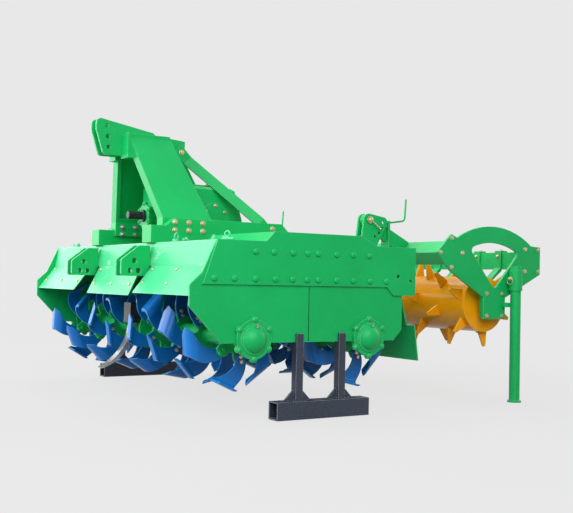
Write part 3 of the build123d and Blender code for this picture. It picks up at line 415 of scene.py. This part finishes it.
hexNut = {"head": 0.0138, "height": 0.011, "chamfer": (0.0022, 0.0009), "corners": 20,
          "stud": 0.0078, "reach": 0.009, "studEdge": (0.0014, 0.0014), "studCorners": 12}


def makeHexNut():  # on the same washer as the bolt
    seat = hexBolt["washerHeight"]
    top = seat + hexNut["height"]
    end = top + hexNut["reach"]
    nut = startDrum(hexNut["corners"], hexBolt["washer"], seat)
    addDrum(hexCorners, hexNut["head"], seat, top)
    narrowTop(nut, (seat + top) / 2, *hexNut["chamfer"])
    addDrum(hexNut["studCorners"], hexNut["stud"], seat, end)
    narrowTop(nut, (top + end) / 2, *hexNut["studEdge"])
    return closePiece(nut)


tineHead = {"head": 0.0105, "height": 0.008, "chamfer": (0.0018, 0.0008)}


def makeTineHead():  # only a few faces, as there are hundreds
    bolt = startDrum(hexCorners, tineHead["head"], tineHead["height"])
    narrowTop(bolt, tineHead["height"] / 2, *tineHead["chamfer"])
    return closePiece(bolt)


nipple = {"hex": 0.0075, "height": 0.007, "neck": 0.0042, "shoulder": 0.001, "reach": 0.009,
          "tip": (0.0012, 0.002)}


def makeNipple():
    fitting = startDrum(hexCorners, nipple["hex"], nipple["height"])
    narrowTop(fitting, nipple["height"] / 2, nipple["hex"] - nipple["neck"], nipple["shoulder"])
    drawOut(0, 0, nipple["reach"])
    narrow(*nipple["tip"])
    return closePiece(fitting)


ringPin = {"collar": 0.013, "height": 0.005, "pin": 0.0085, "shoulder": 0.001, "reach": 0.016,
           "tip": (0.002, 0.0015), "corners": 20, "ring": 0.019, "wire": 0.0024,
           "ringAt": (0.004, -0.013, 0.014), "ringTilt": (12, 8, 0), "ringSegments": 24}


def makeRingPin():
    pin = startDrum(ringPin["corners"], ringPin["collar"], ringPin["height"])
    narrowTop(pin, ringPin["height"] / 2, ringPin["collar"] - ringPin["pin"], ringPin["shoulder"])
    drawOut(0, 0, ringPin["reach"])
    narrow(*ringPin["tip"])
    addRing(ringPin)
    return closePiece(pin, smoothAngle=60)


handlePin = {"washer": 0.021, "seat": 0.004, "corners": 24,
             "head": 0.0125, "top": 0.011, "chamfer": (0.003, 0.002), "headCorners": 20,
             "wire": 0.0036, "wireZ": 0.008, "length": 0.082, "wireCorners": 10,
             "knob": 0.007, "knobSegments": 12, "knobRings": 8}


def makeHandlePin():  # the wire handle runs along +X
    pin = startDrum(handlePin["corners"], handlePin["washer"], handlePin["seat"])
    addDrum(handlePin["headCorners"], handlePin["head"], handlePin["seat"], handlePin["top"])
    narrowTop(pin, (handlePin["seat"] + handlePin["top"]) / 2, *handlePin["chamfer"])
    bpy.ops.mesh.select_all(action="DESELECT")
    bpy.ops.mesh.primitive_cylinder_add(vertices=handlePin["wireCorners"], radius=handlePin["wire"],
                                        depth=handlePin["length"], rotation=(0, math.radians(90), 0),
                                        location=(handlePin["length"] / 2, 0, handlePin["wireZ"]))
    bpy.ops.mesh.select_all(action="DESELECT")
    bpy.ops.mesh.primitive_uv_sphere_add(segments=handlePin["knobSegments"], radius=handlePin["knob"],
                                         ring_count=handlePin["knobRings"],
                                         location=(handlePin["length"], 0, handlePin["wireZ"]))
    return closePiece(pin, smoothAngle=50)


eyeFitting = {"foot": 0.010, "height": 0.008, "shoulder": (0.004, 0.003),
              "ring": 0.012, "wire": 0.004,
              "ringAt": (0, 0, 0.024), "ringTilt": (90, 0, 0), "ringSegments": 20}


def makeEyeFitting():
    fitting = startDrum(hexCorners, eyeFitting["foot"], eyeFitting["height"])
    narrowTop(fitting, eyeFitting["height"] / 2, *eyeFitting["shoulder"])
    addRing(eyeFitting)
    return closePiece(fitting, smoothAngle=50)


elbow = {"hex": 0.011, "height": 0.009, "chamfer": (0.002, 0.001),
         "pipe": 0.007, "corners": 12, "rise": 0.012, "bend": 0.014, "bendSteps": 6, "run": 0.05}


def makeElbow():  # pipe that leaves a nut upwards and turns level along +X
    fitting = startDrum(hexCorners, elbow["hex"], elbow["height"])
    narrowTop(fitting, elbow["height"] / 2, *elbow["chamfer"])
    top = elbow["height"] + elbow["rise"]
    addDrum(elbow["corners"], elbow["pipe"], elbow["height"], top)
    pickFaces(fitting, topFace((elbow["height"] + top) / 2))
    bpy.ops.mesh.spin(steps=elbow["bendSteps"], angle=math.radians(90),
                      center=(elbow["bend"], 0, top), axis=(0, 1, 0))
    drawOut(elbow["run"], 0, 0)
    return closePiece(fitting, smoothAngle=50)


bead = {"tube": 0.0445, "thick": 0.0045, "segments": 32, "corners": 6, "swell": 0.0012}


def makeBeadRing():  # weld bead round the rotor tube, every second row swollen
    clearSelection()
    bpy.ops.mesh.primitive_torus_add(major_segments=bead["segments"], minor_segments=bead["corners"],
                                     major_radius=bead["tube"], minor_radius=bead["thick"])
    ring = bpy.context.object
    for vertex in ring.data.vertices:
        turn = math.atan2(vertex.co.y, vertex.co.x) * bead["segments"] / math.tau
        vertex.select = round(turn) % 2 == 0
    bpy.ops.object.mode_set(mode="EDIT")
    bpy.ops.mesh.select_mode(type="VERT")
    bpy.ops.transform.shrink_fatten(value=bead["swell"])
    return closePiece(ring, smoothAngle=80)


beadStick = {"radius": 0.004, "step": 0.005, "rings": 8, "corners": 6, "thin": 0.74, "swell": 1.35}


def makeBeadStick():  # short straight weld with rings that swell and thin out
    stick = startDrum(beadStick["corners"], beadStick["radius"], beadStick["step"])
    pickFaces(stick, topFace(beadStick["step"] / 2))
    for ring in range(beadStick["rings"] - 1):
        drawOut(0, 0, beadStick["step"])
        grow = beadStick["thin"] if ring % 2 == 0 else beadStick["swell"]
        bpy.ops.transform.resize(value=(grow, grow, 1))
    return closePiece(stick, smoothAngle=80)


def beadRun(start, end):  # places for sticks from one point to another
    first, last = spot(*start), spot(*end)
    count = math.ceil((last - first).length / (beadStick["step"] * beadStick["rings"]))
    step = (last - first) / count
    return [(first + i * step, step) for i in range(count)]


seamShadeStrip = {"width": 0.005, "length": 0.262, "thick": 0.0008, "edge": (0.0008, 0.0004)}


def makeSeamShadeStrip():  # dark green strip over the joint of two side panels, a painted shade of the narrow gap, half sunk, its edges sloped
    half = seamShadeStrip["thick"] / 2
    strip = startBlock(seamShadeStrip["width"], seamShadeStrip["length"], -half, half)
    narrowTop(strip, 0, *seamShadeStrip["edge"])
    return closePiece(strip)


# copies of one model, each set on a point, faced and turned in degrees, joined as one piece of a body
def stamp(name, proto, places, body, material, size=1.0, keep=False):
    clearSelection()
    for point, facing, *spin in places:
        twin = proto.copy()
        twin.data = proto.data.copy()
        bpy.context.collection.objects.link(twin)
        turn = Vector(facing).to_track_quat("Z", "Y").to_matrix().to_4x4()
        if spin:
            turn = turn @ Matrix.Rotation(math.radians(spin[0]), 4, "Z")
        twin.matrix_world = Matrix.Translation(point) @ turn @ Matrix.Scale(size, 4)
        twin.select_set(True)
        bpy.context.view_layer.objects.active = twin
    bpy.ops.object.transform_apply(location=True, rotation=True, scale=True)
    bpy.ops.object.join()
    piece = bpy.context.object
    piece.name = name
    piece.data.name = name
    piece.data.materials.clear()
    piece.data.materials.append(material)
    if not keep:
        bpy.data.objects.remove(proto)
    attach(piece, body)
    return piece


def ringOf(radius, count, start=30):  # points round a circle, the first at the start angle
    angles = [math.radians(start + k * 360 / count) for k in range(count)]
    return [(radius * math.cos(angle), radius * math.sin(angle)) for angle in angles]


# in the lists below, size scales the hardware, and turns set the heads at different angles, degrees
sideBolts = {
    "upperZ": 798, "upperY": (330, 430, 537, 622, 684, 793, 897, 998),
    "lowerZ": 670, "lowerY": (113, 218, 331, 440, 536, 621, 687, 795, 900, 1004, 1109),
}
places = []
for side in sides:
    for row in ("upper", "lower"):
        for y in sideBolts[row + "Y"]:
            places.append((spot(side * faceX("side_doubler_left"), y, sideBolts[row + "Z"]), (side, 0, 0)))
stamp("sideBolts", makeDomeBolt(), places, "chassis", greenPaint)

# the strip over this joint carries a painted shadow of the gap
panelSeam = {"y": 642, "z": 503}
face = faceX("side_plate_left")
places = [(spot(side * face, panelSeam["y"], panelSeam["z"]), (side, 0, 0)) for side in sides]
stamp("panelSeamShades", makeSeamShadeStrip(), places, "chassis", gloss("seamShadePaint"))

hexHead = makeHexBolt()
hexBack = makeHexNut()

mastBolts = {"rowsZ": (958, 916), "rowY": (239, 320, 402), "innerX": 286,
             "size": 0.9, "turn": 7, "nutTurn": 11}
strutBolts = {"top": (57, 443, 1380), "foot": (838, 949)}
face = faceX("hitch_beam_left")
outer, inner = [], []
for side in sides:
    for z in mastBolts["rowsZ"]:
        for y in mastBolts["rowY"]:
            outer.append((spot(side * face, y, z), (side, 0, 0), mastBolts["turn"] * y))
            inner.append((spot(side * mastBolts["innerX"], y, z), (-side, 0, 0), mastBolts["nutTurn"] * y))
for side in sides:
    x, y, z = strutBolts["top"]
    outer.append((spot(side * x, y, z), (side, 0, 0)))
    outer.append((spot(side * face, *strutBolts["foot"]), (side, 0, 0)))
stamp("mastBolts", hexHead, outer, "chassis", zincPlate, mastBolts["size"], keep=True)
stamp("mastNuts", hexBack, inner, "chassis", bareSteel, mastBolts["size"], keep=True)

# bolts on the roller end plates, about the ends of both beams and the bearing
endPlateBolts = {
    "about": {
        "front_cross_beam": ((80, 0), (-80, 0), (0, 80), (0, -80)),
        "rear_cross_beam": ((55, 64), (-55, 64), (55, -64), (-55, -64)),
        "roller_bearing_left": ((60, 63), (-60, 63), (60, -63), (-60, -63)),
    },
    "size": 0.72, "turn": 5,
}
face = faceX("roller_end_plate_left")
places = []
for side in sides:
    for node, offsets in endPlateBolts["about"].items():
        middle = layoutMiddle(node)
        for dy, dz in offsets:
            point = spot(side * face, middle.y + dy, middle.z + dz)
            places.append((point, (side, 0, 0), endPlateBolts["turn"] * dy + dz))
size = endPlateBolts["size"]
stamp("endPlateBolts", hexHead, places, "roller_frame", zincPlate, size, keep=True)

scraperBolts = {"front": (2193, 836), "top": (2226, 870), "first": 89.4, "step": 178.8, "perSide": 5,
                "size": 0.62, "turn": 13, "topTurn": 17}
places = []
for side in sides:
    for i in range(scraperBolts["perSide"]):
        x = side * (scraperBolts["first"] + i * scraperBolts["step"])
        places.append((spot(x, *scraperBolts["front"]), (0, -1, 0), scraperBolts["turn"] * i))
        places.append((spot(x, *scraperBolts["top"]), (0, 0, 1), scraperBolts["topTurn"] * i))
size = scraperBolts["size"]
stamp("scraperBolts", hexHead, places, "roller_frame", zincPlate, size, keep=True)

coverBolts = {"ring": 92, "count": 6, "face": 1108, "size": 0.66, "turn": 23}
coverNipples = {"face": 1130, "rise": 57, "out": 0.6, "up": 0.8}
bolts, nipples = [], []
for side in sides:
    for axisY, axisZ in (axisOf("front_rotor_spin"), axisOf("rear_rotor_spin")):
        for k, (dy, dz) in enumerate(ringOf(coverBolts["ring"], coverBolts["count"])):
            point = spot(side * coverBolts["face"], axisY + dy, axisZ + dz)
            bolts.append((point, (side, 0, 0), coverBolts["turn"] * k))
        point = spot(side * coverNipples["face"], axisY, axisZ + coverNipples["rise"])
        nipples.append((point, (coverNipples["out"] * side, 0, coverNipples["up"])))
stamp("coverBolts", hexHead, bolts, "chassis", greenPaint, coverBolts["size"], keep=True)
stamp("coverNipples", makeNipple(), nipples, "chassis", bareSteel)

gearboxBolts = {
    "count": 6, "size": 0.6, "ring": 66, "turn": 19,
    "capX": 152, "capY": 618.5, "capRing": 70, "capTurn": 29,
    "lidX": 88, "lidY": (352, 470, 590, 700),
    "lidPlug": (30, 640), "rearPlug": (0, 800, 960), "plugSize": 1.3,
}
gearboxLow, gearboxHigh = layoutBox("gearbox")
axisZ = axisOf("input_spin")[1]
flangeBolts, lidBolts = [], []
for k, (dx, dz) in enumerate(ringOf(gearboxBolts["ring"], gearboxBolts["count"])):
    flangeBolts.append((spot(dx, gearboxLow.y, axisZ + dz), (0, -1, 0), gearboxBolts["turn"] * k))
for k, (dy, dz) in enumerate(ringOf(gearboxBolts["capRing"], gearboxBolts["count"])):
    for side in sides:
        point = spot(side * gearboxBolts["capX"], gearboxBolts["capY"] + dy, axisZ + dz)
        lidBolts.append((point, (side, 0, 0), gearboxBolts["capTurn"] * k))
for side in sides:
    for y in gearboxBolts["lidY"]:
        lidBolts.append((spot(side * gearboxBolts["lidX"], y, gearboxHigh.z), (0, 0, 1), y))
size = gearboxBolts["size"]
stamp("flangeBolts", hexHead, flangeBolts, "chassis", greenPaint, size, keep=True)
stamp("lidBolts", hexHead, lidBolts, "chassis", zincPlate, size, keep=True)
plugs = [(spot(*gearboxBolts["lidPlug"], gearboxHigh.z), (0, 0, 1)),
         (spot(*gearboxBolts["rearPlug"]), (0, 1, 0))]
stamp("oilPlugs", hexBack, plugs, "chassis", zincPlate, gearboxBolts["plugSize"], keep=True)

# two rows of screws on each apron flap, set along the slope from the fold to the lip
flapScrews = {
    "columns": {"apron_flap_left": (470, 750, 1030, -470, -750, -1030), "apron_flap_centre": (-250, 0, 250)},
    "rows": (0.12, 0.62), "lift": 0.6, "thick": 6, "size": 0.6,
}
places = []
for node, columns in flapScrews["columns"].items():
    low, high = layoutBox(node)
    fold, lip = Vector((high.y - flapScrews["thick"], high.z)), Vector((low.y, low.z))
    slope = (lip - fold).normalized()
    out = Vector((slope.y, -slope.x))
    for share in flapScrews["rows"]:
        y, z = fold + share * (lip - fold) + flapScrews["lift"] * out
        places += [(spot(x, y, z), (0, out.x, out.y)) for x in columns]
stamp("flapScrews", makeDomeBolt(), places, "chassis", zincPlate, flapScrews["size"])

pivotPins = {"droop": 35.5}  # degrees that each handle hangs
face, pivot = faceX("pivot_bracket_left"), axisOf("roller_lift")
places = [
    (spot(face, *pivot), (1, 0, 0), -pivotPins["droop"]),
    (spot(-face, *pivot), (-1, 0, 0), 180 + pivotPins["droop"]),
]
stamp("pivotPins", makeHandlePin(), places, "chassis", zincPlate)

legPins = {"z": 700, "reach": 37, "endSize": 0.6}
leg = layoutMiddle("leg_left")
places, ends = [], []
for side in sides:
    places.append((spot(side * leg.x, leg.y - legPins["reach"], legPins["z"]), (0, -1, 0)))
    ends.append((spot(side * leg.x, leg.y + legPins["reach"], legPins["z"]), (0, 1, 0)))
stamp("legPins", makeRingPin(), places, "roller_frame", zincPlate)
stamp("legPinEnds", hexBack, ends, "roller_frame", zincPlate, legPins["endSize"], keep=True)

deckFittings = {
    "eyes": ((593, 165), (1000, 232)),
    "elbows": ((700, 168), (1010, 205), (-885, 165)),
    "nuts": ((560, 172), (965, 180), (-815, 165), (-850, 180)),
    "eyeSize": 1.2, "turn": 0.2,
}
deckZ = layoutBox("front_panel")[1].z
onDeck = {}
for kind in ("eyes", "elbows", "nuts"):
    onDeck[kind] = [(spot(x, y, deckZ), (0, 0, 1), deckFittings["turn"] * x) for x, y in deckFittings[kind]]
eyeSize = deckFittings["eyeSize"]
stamp("deckEyes", makeEyeFitting(), onDeck["eyes"], "chassis", flapFadedSheenPaint, eyeSize)
stamp("deckElbows", makeElbow(), onDeck["elbows"], "chassis", flapFadedSheenPaint)
stamp("deckNuts", hexBack, onDeck["nuts"], "chassis", flapFadedSheenPaint, keep=True)
print("chassis and roller frame hardware placed")

# weld seams: skid posts and gussets, beams on the deck, clevises on the panel, sleeves on the end plates
skidWelds = {"postY": (587, 838), "half": 20, "gusset": 4, "leg": 58, "proud": 1}
beamWelds = {"line": ((110, 849), (386, 849), (436, 898), (940, 898)), "proud": 1}
clevisWelds = {"x": (321, 339, 387, 405), "top": (126, 826), "low": (108, 738)}
sleeveWelds = {"y": (2073, 2101), "low": 636, "high": 750, "proud": 2}
skidX = layoutMiddle("skid_posts_left").x
skidZ = layoutBox("skid_runner_left")[1].z + skidWelds["proud"]
beamX = faceX("hitch_beam_left") + beamWelds["proud"]
sleeveX = faceX("roller_end_plate_left") + sleeveWelds["proud"]
skidRuns, chassisRuns, sleeveRuns = [], [], []
for side in sides:
    for y in skidWelds["postY"]:
        for edge in (-1, 1):
            x = side * (skidX + edge * skidWelds["half"])
            skidRuns += beadRun((x, y - skidWelds["half"], skidZ), (x, y + skidWelds["half"], skidZ))
            x = side * (skidX + edge * skidWelds["gusset"])
            for way in (-1, 1):
                root = y + way * skidWelds["half"]
                skidRuns += beadRun((x, root, skidZ), (x, root + way * skidWelds["leg"], skidZ))
                skidRuns += beadRun((x, root, skidZ), (x, root, skidZ + skidWelds["leg"]))
    for start, end in zip(beamWelds["line"], beamWelds["line"][1:]):
        chassisRuns += beadRun((side * beamX, *start), (side * beamX, *end))
    for x in clevisWelds["x"]:
        chassisRuns += beadRun((side * x, *clevisWelds["top"]), (side * x, *clevisWelds["low"]))
    for y in sleeveWelds["y"]:
        low, high = ((side * sleeveX, y, sleeveWelds[end]) for end in ("low", "high"))
        sleeveRuns += beadRun(low, high)
weldStick = makeBeadStick()
stamp("skidWelds", weldStick, skidRuns, "chassis", slatePaint, keep=True)
stamp("chassisWelds", weldStick, chassisRuns, "chassis", greenPaint, keep=True)
stamp("sleeveWelds", weldStick, sleeveRuns, "roller_frame", greenPaint)
print("weld seams placed:", len(skidRuns) + len(chassisRuns) + len(sleeveRuns))

# tine bolts and weld beads follow the flanges of each rotor
rotors = {"front_rotor": 0.0, "rear_rotor": 11.5}  # angle of the first tine on each, degrees
flanges = {"first": 152, "step": 262, "perSide": 4, "twist": 23, "half": 6,
           "tines": 6, "tineFace": 16, "boltAt": (93, 118), "nutSize": 1.15, "turn": 31, "nutTurn": 37}
tineBolt = makeTineHead()
beadRing = makeBeadRing()


def flangeTurn(side, i):  # left flanges step on, right ones step back from half a step
    return flanges["twist"] * i if side > 0 else flanges["twist"] * (0.5 - i)


for body, firstTine in rotors.items():
    axisY, axisZ = axisOf(body + "_spin")
    heads, nuts, rings = [], [], []
    for side in sides:
        for i in range(flanges["perSide"]):
            x = side * (flanges["first"] + i * flanges["step"])
            for k in range(flanges["tines"]):
                angle = math.radians(firstTine + flangeTurn(side, i) + k * 360 / flanges["tines"])
                face = 1 if k % 2 == 0 else -1  # tines sit on either face in turn
                for r in flanges["boltAt"]:
                    y, z = axisY - r * math.sin(angle), axisZ + r * math.cos(angle)
                    head = spot(x + face * flanges["tineFace"], y, z)
                    heads.append((head, (face, 0, 0), flanges["turn"] * k))
                    nut = spot(x - face * flanges["half"], y, z)
                    nuts.append((nut, (-face, 0, 0), flanges["nutTurn"] * k))
            for face in sides:
                rings.append((spot(x + face * flanges["half"], axisY, axisZ), (face, 0, 0)))
    stamp(body + "TineBolts", tineBolt, heads, body, zincPlate, keep=True)
    stamp(body + "TineNuts", tineBolt, nuts, body, greenPaint, flanges["nutSize"], keep=True)
    stamp(body + "Beads", beadRing, rings, body, greenPaint, keep=True)
for proto in (hexHead, hexBack, tineBolt, beadRing):
    bpy.data.objects.remove(proto)
print("rotor hardware placed")

# packer drum with its spikes square to the axis, at the places and sizes of the CAD drum, mm
packerDrum = {"radius": 158, "wall": 8, "corners": 96}
packerTeeth = {"root": 154, "tip": 248, "base": 66, "point": 18, "thick": 12, "edge": 1.5,
               "rings": 11, "first": 894, "step": 178.8, "perRing": 6, "twist": 25}
drumHalf = faceX("packer_drum")


def makeDrumTube():
    tube = startDrum(packerDrum["corners"], packerDrum["radius"] / 1000, 2 * drumHalf / 1000)
    pickFaces(tube, lambda face: abs(face.normal.z) > levelNormal)
    bpy.ops.mesh.inset(thickness=packerDrum["wall"] / 1000)
    bpy.ops.mesh.bridge_edge_loops()
    return closePiece(tube)


def makeTooth():
    thick, base, edge = (packerTeeth[key] / 1000 for key in ("thick", "base", "edge"))
    height = (packerTeeth["tip"] - packerTeeth["root"]) / 1000
    tooth = startBlock(thick, base, 0, height)
    pickFaces(tooth, topFace(height / 2))
    bpy.ops.transform.resize(value=(1, packerTeeth["point"] / packerTeeth["base"], 1))
    bpy.ops.mesh.select_all(action="SELECT")
    bpy.ops.mesh.bevel(offset=edge, segments=1, affect="EDGES")
    return closePiece(tooth)


axisY, axisZ = axisOf("roller_spin")
places = []
for ring in range(packerTeeth["rings"]):
    x = ring * packerTeeth["step"] - packerTeeth["first"]
    for k in range(packerTeeth["perRing"]):
        angle = math.radians(ring * packerTeeth["twist"] + k * 360 / packerTeeth["perRing"])
        y, z = -math.sin(angle), math.cos(angle)
        root = spot(x, axisY + packerTeeth["root"] * y, axisZ + packerTeeth["root"] * z)
        places.append((root, (0, y, z)))
stamp("packerTeeth", makeTooth(), places, "packer_roller", orangePaint)
places = [(spot(-drumHalf, axisY, axisZ), (1, 0, 0))]
drum = stamp("packerDrum", makeDrumTube(), places, "packer_roller", orangePaint)
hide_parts("packer_drum")
print("packer drum made:", packerTeeth["rings"] * packerTeeth["perRing"], "teeth")


# floor, world, lights, camera

studio = {"back": (0.807, 0.807, 0.807), "floor": (0.25, 0.25, 0.25), "near": (0.9, 0.9, 0.9),
          "ambient": 0.4, "floorSize": 80.0, "floorShow": 0.8, "fadeFrom": 2.0, "fadeTo": 6.0}


def seenRay(wire):  # 1 for rays that show a surface, 0 for those that only light others
    kinds = ("Is Camera Ray", "Is Glossy Ray", "Is Transmission Ray")
    camera, glossy, clear = (wire.make("ShaderNodeLightPath", output=kind) for kind in kinds)
    return (camera + glossy + clear) > 0.5


def makeFloor():  # dark matt floor, shown as pale as the back
    clearSelection()
    bpy.ops.mesh.primitive_plane_add(size=studio["floorSize"], location=(0, 0, 0))
    floor = bpy.context.object
    floor.name = "studioFloor"
    material, wire = newMaterial("studioFloor")
    away = wire.make("ShaderNodeTexCoord", output="Object").length()
    fade = away.between(studio["fadeFrom"], studio["fadeTo"])
    share = seenRay(wire) * (studio["floorShow"] + (1.0 - studio["floorShow"]) * fade)
    matt = wire.make("ShaderNodeBsdfDiffuse", None, {"Color": rgba(studio["floor"])})
    shade = fade.mix(rgba(studio["near"]), rgba(studio["back"]))
    glow = wire.make("ShaderNodeEmission", None, {"Color": shade, "Strength": 1.0})
    both = wire.make("ShaderNodeMixShader", None, {0: share, 1: matt, 2: glow})
    wire.make("ShaderNodeOutputMaterial", None, {"Surface": both})
    floor.data.materials.append(material)


def makeWorld():
    world = bpy.data.worlds.new("studio")
    world.use_nodes = True
    world.node_tree.nodes.clear()
    wire = Wire(world.node_tree)
    strength = seenRay(wire) * (1.0 - studio["ambient"]) + studio["ambient"]
    back = wire.make("ShaderNodeBackground", None, {"Color": rgba(studio["back"]), "Strength": strength})
    wire.make("ShaderNodeOutputWorld", None, {"Surface": back})
    bpy.context.scene.world = world


lamps = {
    "keyFront": {"at": (-1.5, -7.0, 3.6), "size": (8.0, 5.0), "power": 760.0},
    "sheenFar": {"at": (-6.5, -2.4, 2.0), "size": (5.5, 4.0), "power": 190.0},
    "fillSide": {"at": (6.2, -3.2, 4.2), "size": (5.5, 5.0), "power": 470.0},
    "overhead": {"at": (-2.2, 1.4, 6.2), "size": (4.0, 4.0), "power": 260.0},
    "rimBack": {"at": (1.0, 6.5, 3.6), "size": (4.0, 4.0), "power": 170.0},
}
lampTarget = Vector((0, 0, 0.6))


def makeLamps():
    for name, lamp in lamps.items():
        light = bpy.data.lights.new(name, "AREA")
        light.energy = lamp["power"]
        light.shape = "RECTANGLE"
        light.size, light.size_y = lamp["size"]
        item = bpy.data.objects.new(name, light)
        item.location = lamp["at"]
        item.rotation_euler = (lampTarget - item.location).to_track_quat("-Z", "Y").to_euler()
        item.visible_camera = False
        bpy.context.collection.objects.link(item)


view = {"at": (4.8926, -3.0496, 0.6601), "yaw": 32.535, "pitch": 1.512, "roll": 1.196,
        "lens": 59.2, "sensor": 36.0}


def makeCamera():
    yaw, pitch, roll = (math.radians(view[key]) for key in ("yaw", "pitch", "roll"))
    ahead = Vector((-math.cos(yaw) * math.cos(pitch), math.sin(yaw) * math.cos(pitch), math.sin(pitch)))
    level = Vector((math.sin(yaw), math.cos(yaw), 0))
    down = ahead.cross(level)
    right = level * math.cos(roll) - down * math.sin(roll)
    up = -(down * math.cos(roll) + level * math.sin(roll))
    camera = bpy.data.cameras.new("photoView")
    camera.sensor_width = view["sensor"]
    camera.sensor_fit = "HORIZONTAL"
    camera.lens = view["lens"]
    item = bpy.data.objects.new("photoView", camera)
    turn = Matrix((right, up, -ahead)).transposed().to_4x4()
    item.matrix_world = Matrix.Translation(view["at"]) @ turn
    bpy.context.collection.objects.link(item)
    bpy.context.scene.camera = item


makeFloor()
makeWorld()
makeLamps()
makeCamera()
bpy.context.scene.view_settings.view_transform = "Standard"
print("studio ready")
